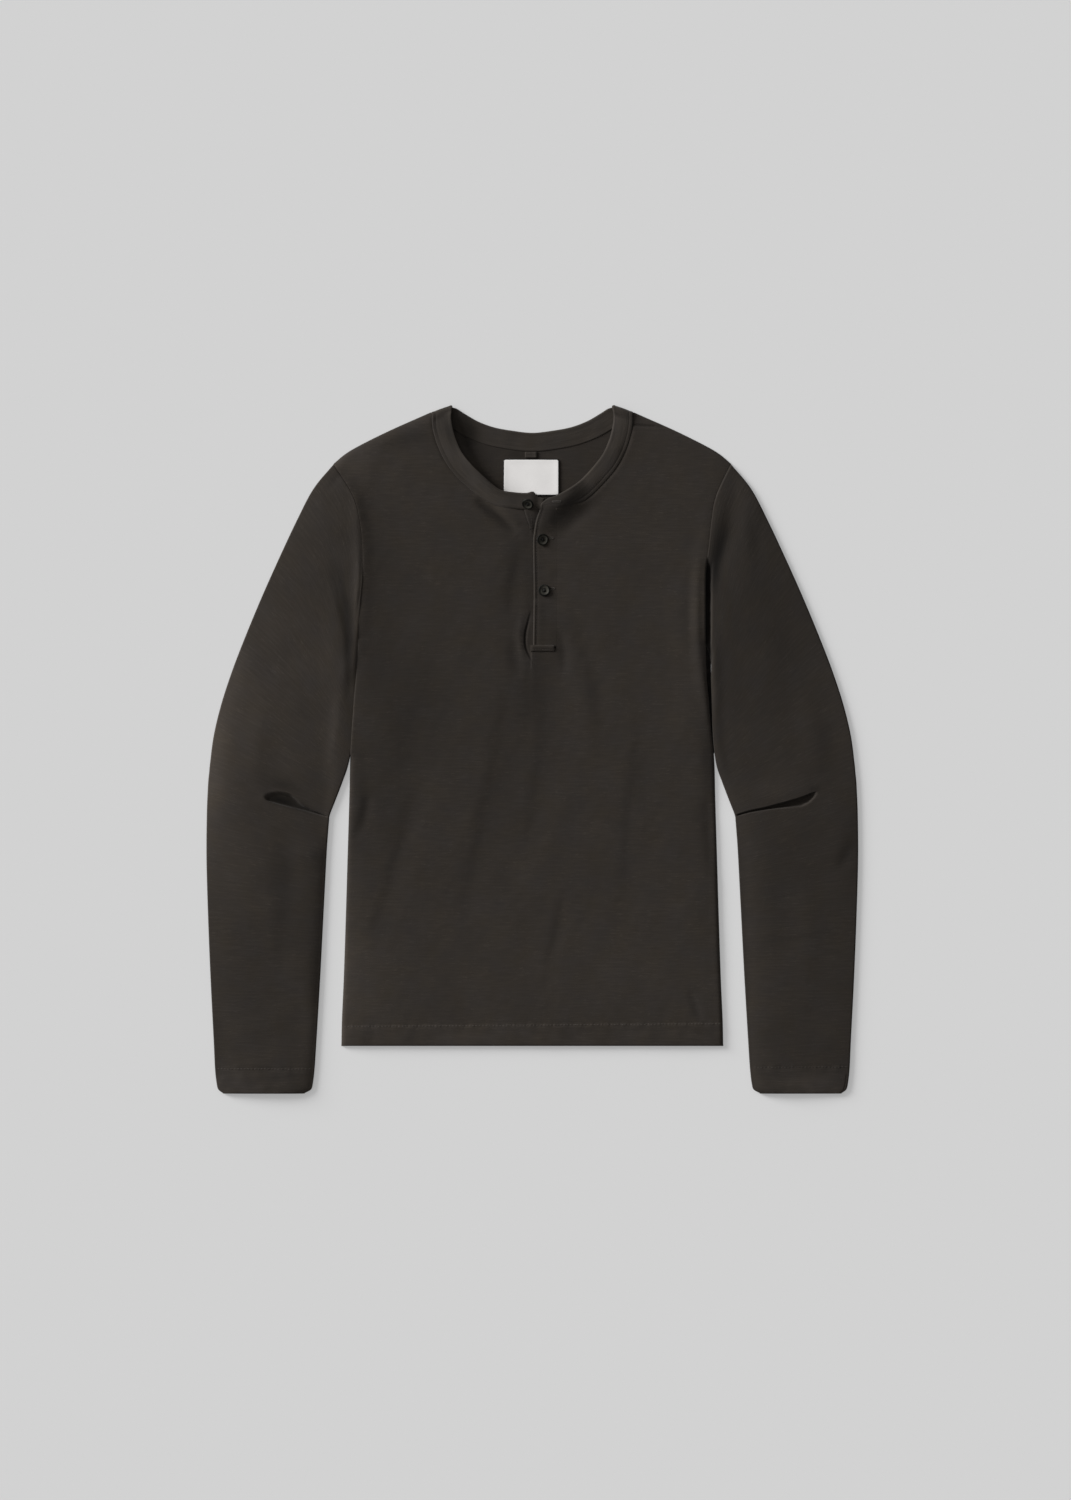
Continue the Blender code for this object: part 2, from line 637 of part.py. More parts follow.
def strip(name, left_edge, right_edge, low, wall, crown, collection, look):
    """A flat strip between two edges of equally many points, its face slightly crowned."""
    rings = []
    for left, right in zip(left_edge, right_edge):
        shares = np.array([0.0, 0.12, 0.5, 0.88, 1.0])
        face_rise = np.array([0.0, 0.7, 1.0, 0.7, 0.0]) * crown
        points = left + shares[:, None] * (right - left)
        face = np.column_stack([points, low + wall + face_rise])
        under = np.column_stack([points[[4, 0]], [low, low]])
        rings.append(np.vstack([face, under]))
    verts, faces = loft(rings)
    add_object(name, mesh_of(name, verts, faces), collection, look)


def placket(collection):
    over_left = spline(OVERLAP_EDGE, 2)
    over_left[:, 1] = np.clip(over_left[:, 1], PLACKET_BOTTOM + SEAM_GAP, PLACKET_TOP - SEAM_GAP)
    over_right = np.column_stack(
        [np.full(len(over_left), PLACKET_SEAM_X - SEAM_GAP), over_left[:, 1]]
    )
    strip("placket_overlap", over_left, over_right, OVERLAP_Z, WALL, OVERLAP_CROWN, collection, TRIM)
    under_left = spline(UNDERLAP_SEAM, 2) + np.array([SEAM_GAP + 0.05, 0])
    under_left[:, 1] = np.clip(under_left[:, 1], PLACKET_BOTTOM + SEAM_GAP, PLACKET_TOP - SEAM_GAP)
    under_right = under_left + np.array([UNDERLAP_WIDTH, 0])
    strip("placket_underlap", under_left, under_right, UNDERLAP_Z, WALL, 0.0, collection, TRIM)
    low = FRONT_CROWN + OVERLAP_CROWN + SEAM_GAP
    ends = np.linspace(TACK["y0"], TACK["y1"], 4)
    left = np.array([(TACK["x0"], y) for y in ends])
    right = np.array([(TACK["x1"], y) for y in ends])
    strip("placket_tack", left, right, low, TACK["wall"], 0.0, collection, TRIM)


def plate(name, size, collection, look):
    """A small woven piece that lies on the inside of the back."""
    mesh = bpy.data.meshes.new(name)
    bm = bmesh.new()
    bmesh.ops.create_cube(bm, size=1)
    spans = (size["x1"] - size["x0"], size["y1"] - size["y0"], size["wall"])
    middle = (
        (size["x0"] + size["x1"]) / 2,
        (size["y0"] + size["y1"]) / 2,
        size["z0"] + size["wall"] / 2,
    )
    place = Matrix.Translation(MM * Vector(middle)) @ Matrix.Diagonal(MM * Vector(spans)).to_4x4()
    bm.transform(place)
    bm.to_mesh(mesh)
    bm.free()
    obj = add_object(name, mesh, collection, look)
    bevel = obj.modifiers.new("Rounded edges", "BEVEL")
    bevel.width = 0.2 * MM
    bevel.segments = 1


def button_profile():
    """Half section of a button with a raised rim, from the middle of its face down and round."""
    r = BUTTON_DIAMETER / 2
    h = BUTTON_HEIGHT
    return [
        (0.0, h * 0.62),
        (r * 0.60, h * 0.62),
        (r * 0.74, h),
        (r * 0.90, h),
        (r, h * 0.70),
        (r, h * 0.35),
        (r * 0.80, 0.0),
        (0.0, 0.0),
    ]


def button_mesh(cutters):
    """A turned disc with four thread holes."""
    mesh = bpy.data.meshes.new("button")
    profile = button_profile()
    edges = [(i, i + 1) for i in range(len(profile) - 1)]
    mesh.from_pydata([(MM * r, 0, MM * z) for r, z in profile], edges, [])
    disc = bpy.data.objects.new("button_blank", mesh)
    cutters.objects.link(disc)
    disc.hide_render = True
    screw = disc.modifiers.new("Turn", "SCREW")
    screw.steps = screw.render_steps = 20
    screw.use_merge_vertices = True
    screw.merge_threshold = 1e-6
    for k in range(4):
        angle = math.radians(45 + 90 * k)
        drill = bpy.data.meshes.new(f"thread_hole_{k}")
        bm = bmesh.new()
        bmesh.ops.create_cone(
            bm, cap_ends=True, segments=8, radius1=HOLE_RADIUS * MM, radius2=HOLE_RADIUS * MM,
            depth=4 * BUTTON_HEIGHT * MM,
        )
        bm.to_mesh(drill)
        bm.free()
        hole = bpy.data.objects.new(drill.name, drill)
        hole.location = (HOLE_OFFSET * MM * math.cos(angle), HOLE_OFFSET * MM * math.sin(angle), 0)
        hole.hide_render = True
        hole.display_type = "WIRE"
        cutters.objects.link(hole)
        cut = disc.modifiers.new(f"Hole {k}", "BOOLEAN")
        cut.operation = "DIFFERENCE"
        cut.object = hole
    bpy.context.view_layer.update()
    graph = bpy.context.evaluated_depsgraph_get()
    return bpy.data.meshes.new_from_object(disc.evaluated_get(graph))


def buttons(collection, cutters):
    shape = button_mesh(cutters)
    for spec in BUTTONS:
        obj = add_object(spec.name, shape.copy(), collection, BUTTON_RESIN)
        obj.location = MM * Vector((spec.x, spec.y, spec.z))
        obj.rotation_euler = (math.radians(spec.tilt), 0, 0)


def build():
    for obj in list(bpy.data.objects):
        bpy.data.objects.remove(obj, do_unlink=True)
    shirt = bpy.data.collections.new("henley_shirt")
    cutters = bpy.data.collections.new("cutters")
    for collection in (shirt, cutters):
        bpy.context.scene.collection.children.link(collection)

    back = panel("back", back_outline(), back_face, back_underside, BACK_GRID)
    add_object("back", back, shirt, CLOTH)
    front = panel("front", front_outline(), front_face, front_underside, FRONT_GRID)
    add_object("front", front, shirt, CLOTH)
    sleeve("sleeve_left", "left", shirt)
    sleeve("sleeve_right", "right", shirt)
    neckband(shirt)
    placket(shirt)
    plate("label", LABEL, shirt, LABEL_CLOTH)
    plate("neck_loop", LOOP, shirt, TRIM)
    buttons(shirt, cutters)


build()
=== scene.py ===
"""Looks of the henley shirt, laid flat on its back under a soft light from the upper left.

All sizes are in millimetres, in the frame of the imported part: +X right, +Y to the collar, +Z up.
Each cut piece of cloth is a thin shell on its solid's form, with the creases, seams and stitches.
"""

import math
from collections import namedtuple
from functools import partial

import bmesh
import bpy
import numpy as np
from mathutils import Matrix, Vector
from mathutils.bvhtree import BVHTree
from mathutils.geometry import delaunay_2d_cdt


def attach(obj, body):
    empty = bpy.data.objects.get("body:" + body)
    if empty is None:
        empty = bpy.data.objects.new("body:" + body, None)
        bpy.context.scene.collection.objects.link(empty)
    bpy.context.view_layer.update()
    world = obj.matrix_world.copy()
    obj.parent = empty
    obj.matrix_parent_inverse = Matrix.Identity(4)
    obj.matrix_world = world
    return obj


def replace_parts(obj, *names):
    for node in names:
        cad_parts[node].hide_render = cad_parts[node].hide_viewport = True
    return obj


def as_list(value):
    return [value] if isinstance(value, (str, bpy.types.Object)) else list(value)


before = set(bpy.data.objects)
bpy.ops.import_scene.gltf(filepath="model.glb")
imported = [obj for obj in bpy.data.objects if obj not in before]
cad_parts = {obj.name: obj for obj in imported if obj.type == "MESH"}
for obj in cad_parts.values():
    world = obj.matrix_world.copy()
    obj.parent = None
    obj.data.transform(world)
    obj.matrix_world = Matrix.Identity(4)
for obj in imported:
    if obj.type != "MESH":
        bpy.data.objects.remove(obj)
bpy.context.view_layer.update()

MM = 0.001

# Driving dimensions, the same as the part's.
OVERALL_LENGTH = 653.5
TOP_Y = OVERALL_LENGTH / 2
HEM_Y = TOP_Y - 608.8
CUFF_Y = -OVERALL_LENGTH / 2
CUFF_DEPTH = 23.0
HALF_HEM = 181.5

WALL = 1.2
BAND_WALL = 1.8
FRONT_CROWN = 4.4
FRONT_UNDERSIDE = 1.45
FOLD_EDGE = 3.0
LOWEST_FACE = 2.3  # no trough of the front goes below this

SIDES = ("left", "right")
SIGN = {"left": -1, "right": 1}
Point = namedtuple("Point", "x y")
Side = namedtuple("Side", "y left right")
Section = namedtuple("Section", "outer_x outer_y inner_x inner_y top")
NeckRow = namedtuple("NeckRow", "seam_x seam_y seam_z free_x free_y free_z")
Fold = namedtuple("Fold", "width height path lean", defaults=[0.0])
Pocket = namedtuple("Pocket", "x upper lower depth")
Plate = namedtuple("Plate", "x0 x1 y0 y1 z")  # a small flat piece, z being its underside


def table(kind, rows):
    return [kind(*row) for row in rows]



UNDERARM_Y = 100.0
SIDE_SEAM = table(Side, [
    (HEM_Y, 181.5, 181.5),
    (-257.0, 181.0, 181.0),
    (-219.0, 179.3, 179.3),
    (-162.0, 177.4, 177.4),
    (-105.0, 175.7, 175.7),
    (-48.0, 174.0, 174.0),
    (-10.0, 173.1, 173.0),
    (17.0, 171.6, 170.2),
    (47.0, 169.5, 167.7),
    (71.0, 167.6, 165.6),
    (UNDERARM_Y, 166.4, 165.0),
])
ARMHOLE = table(Side, [
    (UNDERARM_Y, 166.4, 165.0),
    (142.0, 163.7, 165.0),
    (170.0, 161.0, 165.4),
    (195.0, 161.3, 168.4),
    (216.0, 163.7, 170.5),
    (236.0, 168.3, 173.6),
    (252.0, 176.5, 179.8),
    (271.0, 189.2, 189.2),
])
# How far the sleeve lies from the body's side (below 0: under it), as (y, gap) from low to high.
BESIDE_GAP = {
    "left": [(0.0, -1.1), (100.0, -1.1)],
    "right": [
        (-6.0, 0.3), (2.0, 0.5), (22.0, 1.4), (44.0, 2.6), (66.0, 3.9), (84.0, 4.4), (100.0, 4.4)
    ],
}
SHOULDER = table(Point, [
    (189.2, 271.0),
    (178.0, 280.4),
    (163.7, 288.9),
    (135.0, 303.1),
    (96.7, 320.1),
])

# Sleeve sections from armhole to cuff, on the right. inner_x of None lies beside the body.
SLEEVE = table(Section, [
    (189.6, 271.0, None, UNDERARM_Y, 4.2),
    (208.0, 247.5, None, 84.0, 4.6),
    (223.7, 217.7, None, 66.0, 4.8),
    (241.5, 179.7, None, 44.0, 4.8),
    (258.4, 141.7, None, 22.0, 4.7),
    (274.1, 103.7, None, 2.0, 4.6),
    (286.0, 72.5, 175.3, -16.5, 4.6),
    (296.0, 41.5, 180.5, -31.5, 4.7),
    (302.9, 12.5, 186.9, -48.3, 4.8),
    (306.4, -14.0, 191.0, -58.6, 4.8),
    (307.1, -21.5, 192.2, -62.0, 4.8),
    (307.6, -26.0, 192.9, -64.6, 4.8),
    (307.9, -29.0, 193.1, -67.3, 4.8),
    (308.4, -37.0, 193.7, -74.5, 4.9),
    (309.4, -62.0, 195.2, -95.0, 4.8),
    (309.7, -105.0, 196.8, -125.0, 4.6),
    (308.1, -162.0, 199.0, -168.0, 4.6),
    (305.8, -219.0, 201.8, -221.0, 4.6),
    (302.9, -276.0, 205.1, -276.5, 4.8),
    (301.6, CUFF_Y + CUFF_DEPTH, 206.9, CUFF_Y + CUFF_DEPTH, 5.4),
    (300.0, -318.0, 208.6, -318.0, 5.6),
    (298.4, -323.6, 210.4, -323.6, 5.4),
    (294.3, CUFF_Y, 216.0, CUFF_Y, 5.2),
])
STRAIGHT_FROM = 8  # above this section the rings bow towards the armhole's curve
SLEEVE_RISE = {"left": 1.7, "right": 1.5}  # how far the face is puffed up above the solid's
# How wide the rise of the face is at the tube's outer and inner edge.
OUTER_SLOPE = {"left": 20.0, "right": 42.0}
INNER_SLOPE = {"left": 10.0, "right": 7.0}
LOW_INNER_SLOPE = {"left": 48.0, "right": 9.0}  # from the underarm to the elbow
FOREARM_INNER_SLOPE = {"left": 9.5, "right": 9.0}

BAND_BACK_Z = BAND_WALL / 2
BAND_FRONT_Z = 4.2
BAND_RIGHT = table(NeckRow, [
    (6.6, 227.9, 4.3, 8.6, 233.6, 4.3),
    (11.5, 227.7, 4.3, 14.5, 238.2, 4.5),
    (21.0, 227.7, 4.2, 22.5, 241.0, 4.9),
    (32.7, 228.8, 4.0, 31.0, 245.5, 5.3),
    (45.0, 233.0, 3.9, 39.5, 250.9, 5.9),
    (56.5, 241.0, 3.9, 47.5, 257.5, 6.7),
    (70.0, 254.7, 3.9, 58.5, 269.5, 7.5),
    (81.0, 268.5, 3.9, 67.0, 281.0, 8.0),
    (89.5, 285.0, 3.9, 73.2, 295.3, 7.8),
    (94.0, 300.0, 3.9, 76.3, 308.5, 6.6),
    (95.5, 310.5, 4.1, 77.0, 317.8, 5.0),
])
BAND_LEFT = table(NeckRow, [
    (-95.3, 310.5, 4.1, -77.0, 317.8, 5.0),
    (-93.6, 300.0, 3.9, -76.3, 308.5, 6.6),
    (-89.0, 286.0, 3.9, -73.2, 295.3, 7.8),
    (-81.0, 270.5, 3.9, -67.5, 281.0, 8.0),
    (-70.6, 257.6, 3.9, -59.0, 268.4, 7.5),
    (-57.0, 245.5, 3.9, -47.8, 257.3, 6.7),
    (-44.0, 236.2, 3.9, -38.0, 250.5, 5.9),
    (-31.6, 230.2, 3.9, -28.8, 245.7, 5.2),
    (-17.4, 228.6, 3.8, -14.3, 243.1, 4.6),
    (-7.0, 227.8, 3.8, -5.5, 242.8, 4.4),
    (-0.5, 227.9, 3.8, 0.8, 244.0, 4.3),
    (5.9, 227.9, 2.6, 5.2, 240.2, 2.9),
    (10.5, 228.1, 2.3, 11.5, 238.4, 2.3),
])
BAND_BACK = [
    NeckRow(seam_x, seam_y, BAND_BACK_Z, free_x, free_y, BAND_BACK_Z)
    for seam_x, seam_y, free_x, free_y in (
        (86.0, 311.3, 71.5, 323.6),
        (74.5, 303.2, 64.1, 318.9),
        (60.6, 295.5, 51.5, 311.7),
        (42.6, 288.9, 36.5, 306.2),
        (22.0, 284.8, 19.5, 303.0),
        (0.0, 282.7, 0.0, 300.9),
    )
]
FOLD_SEAM_END = Point(96.2, 320.3)
FOLD_FREE_END = Point(76.3, TOP_Y + 0.45)
FOLD_STEPS = 8
CORD_WIDTH = 3.4  # the raised seam along the band's sewn edge

PLACKET_TOP = 227.4
PLACKET_BOTTOM = 97.0
PLACKET_LENGTH = PLACKET_TOP - PLACKET_BOTTOM
PLACKET_SEAM_X = 22.3
OVERLAP_EDGE = table(Point, [
    (6.9, PLACKET_TOP),
    (3.4, 217.0),
    (1.5, 205.0),
    (0.7, 194.0),
    (1.3, 150.0),
    (0.6, PLACKET_BOTTOM),
])
UNDERLAP_SEAM = table(Point, [
    (-8.4, PLACKET_TOP),
    (-5.0, 217.0),
    (-1.8, 207.0),
    (-1.3, 194.0),
    (-1.0, PLACKET_BOTTOM),
])
UNDERLAP_WIDTH = 20.0
UNDER_OVERLAP = 3.2  # how far the left front runs in under the overlap
UNDERLAP_Z = 1.5
OVERLAP_Z = 3.0
TACK = Plate(-3.4, 21.3, 92.9, 98.9, 4.5)
LABEL = Plate(-28.2, 26.0, 239.7, 276.6, 1.55)
TAB = Plate(-7.0, 4.6, 276.9, 282.6, 1.55)

BUTTON_DIAMETER = 11.2
BUTTON_HEIGHT = 2.1
HOLE_RADIUS = 0.75
HOLE_OFFSET = 1.55
Button = namedtuple("Button", "name x y z tilt turn")
BUTTONS = table(Button, [
    ("button_top", -4.1, 233.4, 6.4, 39.0, -20.0),
    ("button_middle", 9.6, 199.0, 5.2, 14.0, 75.0),
    ("button_bottom", 11.3, 150.9, 4.3, 0.0, 12.0),
])

# Creases: soft troughs (height below 0) and ridges. Where a path runs down, a lean above 0 makes
# the picture's right side of it steeper.
FRONT_FOLDS = table(Fold, [
    # long soft troughs that run down the body, steeper on their left
    (9.0, -0.6, [(-109, -40), (-117, -68), (-129, -110), (-142, -155), (-151, -185)], -0.25),
    (12.0, -0.75, [(-11, 92), (-22, 47), (-32, -10), (-45, -70), (-58, -139), (-66, -166)], -0.25),
    (10.0, -0.5, [(16, 62), (13, 30), (8, -20), (0, -74), (-4, -95)], -0.25),
    (6.5, -0.6, [(32, -140), (27, -160), (21, -186), (14, -218)], -0.2),
    (10.0, -0.6, [(104, 40), (102, 8), (96, -50), (90, -118), (86, -142)], -0.25),
    (10.0, -0.75, [(43, 130), (50, 100), (60, 66), (65, 36), (64, 4)], -0.15),
    (16.0, -0.6, [(-96, 60), (-112, 10), (-122, -40)]),
    # under the neckband
    (4.6, -2.6, [(-55, 240), (-44, 230), (-36, 223), (-26, 214), (-14, 203)]),
    (5.0, 0.6, [(-34, 233), (-24, 224), (-10, 212)]),
    (6.5, -1.0, [(60, 234), (50, 225), (38, 215), (27, 202)]),
    # beside and below the placket
    (1.0, -1.3, [(-0.6, 134), (-4.5, 120), (-7.0, 108), (-6.2, 96), (0.2, 82)], -0.4),
    (3.4, 0.7, [(-9.5, 128), (-12.0, 108), (-11.0, 97), (-7.0, 84)]),
    (9.0, -0.9, [(-9, 196), (-14, 170), (-18, 146), (-20, 124)], -0.2),
    (6.0, -0.75, [(-17, 104), (-16, 84), (-13, 66)]),
    (5.0, -0.75, [(24, 116), (30, 95), (30, 70)]),
    # sides
    (5.0, -1.05, [(-156, -42), (-160, -66), (-171, -90)]),
    (6.0, -0.9, [(166, -44), (169, -84), (172, -124)]),
    (4.0, -0.6, [(150, -228), (155, -244), (161, -260)]),
    (5.0, 1.35, [(160, 190), (157.5, 165), (157, 120), (160, 80), (166, 40), (169, 20)], 0.3),
    (5.5, -0.6, [(152, 175), (150, 130), (152, 90)]),
])
# The placket's top and the band's end stand up, and fall steeply on their lower right.
STANDING = Fold(10.0, 3.7, [(48, 257), (40, 248), (31.5, 239.5), (22, 230), (13, 218), (9, 203)])
SLEEVE_FOLDS = {
    "left": table(Fold, [
        (4.5, 0.9,
         [(-175, 252), (-167, 232), (-165, 200), (-165, 160), (-166.5, 130), (-166, 106)], 0.2),
        (4.0, -0.9,
         [(-190, 172), (-184.6, 150), (-177.5, 122), (-174.5, 100), (-173.5, 70), (-174, 40)]),
        (13.0, 0.95, [(-254, 60), (-262, 10), (-262, -34)]),
        (2.6, -0.5, [(-174, 266), (-183, 260), (-196, 244)]),
        (11.0, -0.9, [(-238, -80), (-240, -150), (-238, -230)]),
        (9.0, -0.3, [(-218, -150), (-222, -210), (-220, -270)]),
        (6.0, 0.8, [(-183, 76), (-185, 40), (-189, 0), (-194, -40)]),
    ]),
    "right": table(Fold, [
        (10.0, -1.9, [(200, 256), (190, 224), (180.5, 197), (171.5, 172), (168, 152)]),
        (5.0, 0.4, [(220, -171), (248, -175), (284, -168)]),
        (7.0, -0.75, [(211, 232), (212, 204), (210, 176)]),
        (13.0, 0.95, [(258, 60), (268, 10), (270, -24)]),
        (6.0, -1.1, [(307, -80), (301, -98), (292, -114)]),
        (3.0, -0.75, [(172, 258), (162, 247), (156, 236)]),
        (12.0, -0.4, [(236, -100), (240, -160), (238, -230)]),
        (10.0, 0.35, [(262, -120), (264, -180), (262, -250)]),
    ]),
}
# The tuck at each elbow: where the upper sleeve's cloth drops under the forearm's.
POCKETS = {
    "left": table(Pocket, [
        (-254.0, -44.0, -47.0, 0.0),
        (-251.3, -41.5, -49.2, 2.2),
        (-245.0, -39.5, -51.2, 2.8),
        (-238.7, -39.5, -53.0, 3.1),
        (-229.6, -41.5, -55.4, 3.4),
        (-224.0, -46.0, -56.6, 3.4),
        (-217.9, -53.0, -58.2, 3.2),
        (-208.0, -58.3, -61.0, 3.0),
        (-194.0, -63.4, -65.2, 2.7),
        (-186.0, -66.0, -67.6, 2.2),
    ]),
    "right": table(Pocket, [
        (188.0, -64.4, -65.8, 2.1),
        (194.6, -61.8, -63.8, 2.7),
        (206.0, -58.2, -60.6, 3.3),
        (218.2, -55.8, -58.2, 3.9),
        (232.0, -52.2, -56.4, 4.5),
        (242.0, -49.6, -55.4, 4.9),
        (254.7, -45.9, -54.0, 5.1),
        (262.0, -43.0, -51.0, 4.5),
        (266.5, -41.0, -46.6, 3.3),
        (269.5, -40.4, -42.6, 0.0),
    ]),
}


# Curves and distances.


def spline(points, steps):
    """Points on a smooth curve through the given ones, steps of them for each span."""
    rows = np.array(points, float)
    before = 2 * rows[0] - rows[1]
    after = 2 * rows[-1] - rows[-2]
    padded = np.vstack([before, rows, after])
    counts = [steps] * (len(rows) - 1) if isinstance(steps, int) else steps
    curve = []
    for i, count in enumerate(counts):
        a, b, c, d = padded[i : i + 4]
        for t in np.arange(count) / count:
            bend = (2 * a - 5 * b + 4 * c - d) * t**2 + (3 * b - a - 3 * c + d) * t**3
            curve.append(b + ((c - a) * t + bend) / 2)
    curve.append(rows[-1])
    return np.array(curve)


def lengths(curve):
    """How far along a polyline each of its points is."""
    steps = np.linalg.norm(np.diff(curve, axis=0), axis=1)
    return np.concatenate([[0], np.cumsum(steps)])


def places_on(curve, along, wanted):
    """The curve at the wanted distances, along being how far along it its points are."""
    return np.column_stack([np.interp(wanted, along, column) for column in curve.T])


def even_points(curve, count):
    """count points at even distances along a polyline, its ends among them."""
    along = lengths(curve)
    return places_on(curve, along, np.linspace(0, along[-1], count))


def every(curve, step):
    """The polyline again with points about step apart."""
    return even_points(curve, max(2, int(round(lengths(curve)[-1] / step)) + 1))


def nearest(points, curve):
    """For each point: distance to a polyline, how far along in 0 to 1, and the side it is on."""
    starts, spans = curve[:-1], np.diff(curve, axis=0)
    squared = np.maximum((spans**2).sum(axis=1), 1e-12)
    gap, along, side = (np.zeros(len(points)) for _ in range(3))
    chunk = 6000
    for first in range(0, len(points), chunk):
        some = points[first : first + chunk]
        offsets = some[:, None, :] - starts[None]
        t = np.clip((offsets * spans).sum(axis=2) / squared, 0, 1)
        away = offsets - t[..., None] * spans
        gaps = np.hypot(away[..., 0], away[..., 1])
        best = gaps.argmin(axis=1)
        rows = np.arange(len(some))
        picked = offsets[rows, best]
        run = spans[best]
        part = slice(first, first + len(some))
        gap[part] = gaps[rows, best]
        along[part] = (best + t[rows, best]) / len(spans)
        side[part] = np.sign(run[:, 0] * picked[:, 1] - run[:, 1] * picked[:, 0])
    return gap, along, side


def unit(vectors):
    return vectors / np.linalg.norm(vectors, axis=1)[:, None]


def closed(loop):
    return np.vstack([loop, loop[:1]])


def crowded(start, end, gaps, first, last, step):
    """Places from start to end, closer together at both ends."""
    gaps = np.array(gaps)
    between = np.arange(start + first, end - last, step)
    return np.concatenate([start + gaps, between, end - gaps[::-1]])


def gap_to(points, curve):
    return nearest(points, curve)[0]


def hill(x, width):
    """1 at 0, falling to 0 on both sides of it."""
    return np.exp(-((x / width) ** 2))


def rounded(x):
    """A quarter circle, from 0 at 0 to 1 at 1."""
    return np.sqrt(1 - (1 - np.clip(x, 0, 1)) ** 2)


def soft_step(x):
    """0 below 0, 1 above 1, smooth between."""
    t = np.clip(x, 0, 1)
    return t * t * (3 - 2 * t)


def fold_relief(points, folds):
    """The height that creases add at each point."""
    relief = np.zeros(len(points))
    for fold in folds:
        path = spline(fold.path, 5)
        low = path.min(axis=0) - 3 * fold.width
        high = path.max(axis=0) + 3 * fold.width
        near = ((points > low) & (points < high)).all(axis=1)
        if near.any():
            distance, along, side = nearest(points[near], path)
            width = fold.width * (1 - fold.lean * side)
            taper = np.sin(np.pi * np.clip(along, 0.02, 0.98)) ** 0.7
            relief[near] += fold.height * taper * hill(distance, width)
    return relief


def ripples(points, seed, wavelength, height, slant=0.0, spread=1.2):
    """Low, uneven waves of about that length and height, mostly across the slant."""
    rng = np.random.default_rng(seed)
    total = np.zeros(len(points))
    count = 12
    for _ in range(count):
        angle = slant + spread * (rng.random() - 0.5) * 2
        length = wavelength * (0.6 + 0.9 * rng.random())
        phase = 2 * math.pi * rng.random()
        run = points[:, 0] * math.cos(angle) + points[:, 1] * math.sin(angle)
        total += np.sin(2 * math.pi * run / length + phase)
    return height * total / math.sqrt(count)


# Outlines.


def side_of(rows, side):
    return [(SIGN[side] * getattr(row, side), row.y) for row in rows]


def side_curve(side):
    return spline(side_of(SIDE_SEAM, side), 6)


def armhole(side):
    """The armhole seam from the shoulder to the underarm."""
    return spline(side_of(ARMHOLE, side), 8)[::-1]


def shoulder_curve(side):
    """The shoulder from its tip to the neck."""
    return spline([(SIGN[side] * p.x, p.y) for p in SHOULDER], 8)


def body_edge(side):
    """A side of the body, from the hem to the shoulder's end at the neck."""
    return np.vstack([side_curve(side)[:-1], armhole(side)[::-1], shoulder_curve(side)[1:]])


def body_half_width(side, y):
    curve = side_curve(side)
    return np.interp(y, curve[:, 1], np.abs(curve[:, 0]))


def beside_gap(side, y):
    rows = np.array(BESIDE_GAP[side])
    return np.interp(y, rows[:, 0], rows[:, 1])


def beside_sleeve(y):
    """1 where a side of the body has the sleeve right beside it, 0 where it is free."""
    return soft_step((y + 9.0) / 6.0) * soft_step((106.0 - y) / 3.0)


def mirrored(row):
    return row._replace(seam_x=-row.seam_x, free_x=-row.free_x)


def band_fold(sign):
    """The band's sections where it turns over at a shoulder, face first."""
    seam = np.array([sign * FOLD_SEAM_END.x, FOLD_SEAM_END.y])
    free = np.array([sign * FOLD_FREE_END.x, FOLD_FREE_END.y])
    run = (free - seam) / np.linalg.norm(free - seam)
    outward = np.array([-run[1], run[0]])
    outward *= 1 if outward[1] > 0 else -1
    centre_z = (BAND_FRONT_Z + BAND_BACK_Z) / 2
    turn = (BAND_FRONT_Z - BAND_BACK_Z) / 2
    axis_inset = turn + BAND_WALL / 2
    rows = []
    for k in range(FOLD_STEPS + 1):
        angle = math.radians(90 - 180 * k / FOLD_STEPS)
        move = outward * (turn * math.cos(angle) - axis_inset)
        z = centre_z + turn * math.sin(angle)
        rows.append(NeckRow(*(seam + move), z, *(free + move), z))
    return rows


def seam_line(rows, inward_by=0.0):
    """The band's sewn edge, moved towards its free edge by some millimetres."""
    curve = np.array([(row.seam_x, row.seam_y) for row in rows])
    inward = unit(np.array([(row.free_x - row.seam_x, row.free_y - row.seam_y) for row in rows]))
    return spline(curve + inward_by * inward, 4)


def front_seams(inward_by=0.0):
    """The right and left part of the band's sewn edge at the front."""
    right = seam_line(BAND_RIGHT + band_fold(1)[:1], inward_by)
    left = seam_line(band_fold(-1)[:1] + BAND_LEFT, inward_by)
    return right, left


FRONT_TUCK = 2.5  # how far each panel runs in under the band's sewn edge
BACK_TUCK = 0.8
HEM_LINE = np.array([(-HALF_HEM, HEM_Y), (HALF_HEM, HEM_Y)])


def slit_edge():
    """The left front's edge, hidden under the overlap except where the V at the top opens."""
    seam = spline(UNDERLAP_SEAM, 6)
    hidden = soft_step((212.0 - seam[:, 1]) / 10.0)
    return seam + np.column_stack([UNDER_OVERLAP * hidden, np.zeros(len(seam))])


def front_outline(step):
    right, left = body_edge("right"), body_edge("left")
    neck_right, neck_left = front_seams(FRONT_TUCK)
    neck_right = neck_right[neck_right[:, 0] > PLACKET_SEAM_X + 2]
    neck_left = neck_left[neck_left[:, 0] < UNDERLAP_SEAM[0].x - 2]
    slit_right = np.array([(PLACKET_SEAM_X, PLACKET_BOTTOM - 1), (PLACKET_SEAM_X, PLACKET_TOP + 1)])
    runs = [right[::-1], HEM_LINE[::-1], left, neck_left, slit_edge(), slit_right, neck_right]
    return np.vstack([every(run, step)[:-1] for run in close_runs(runs)])


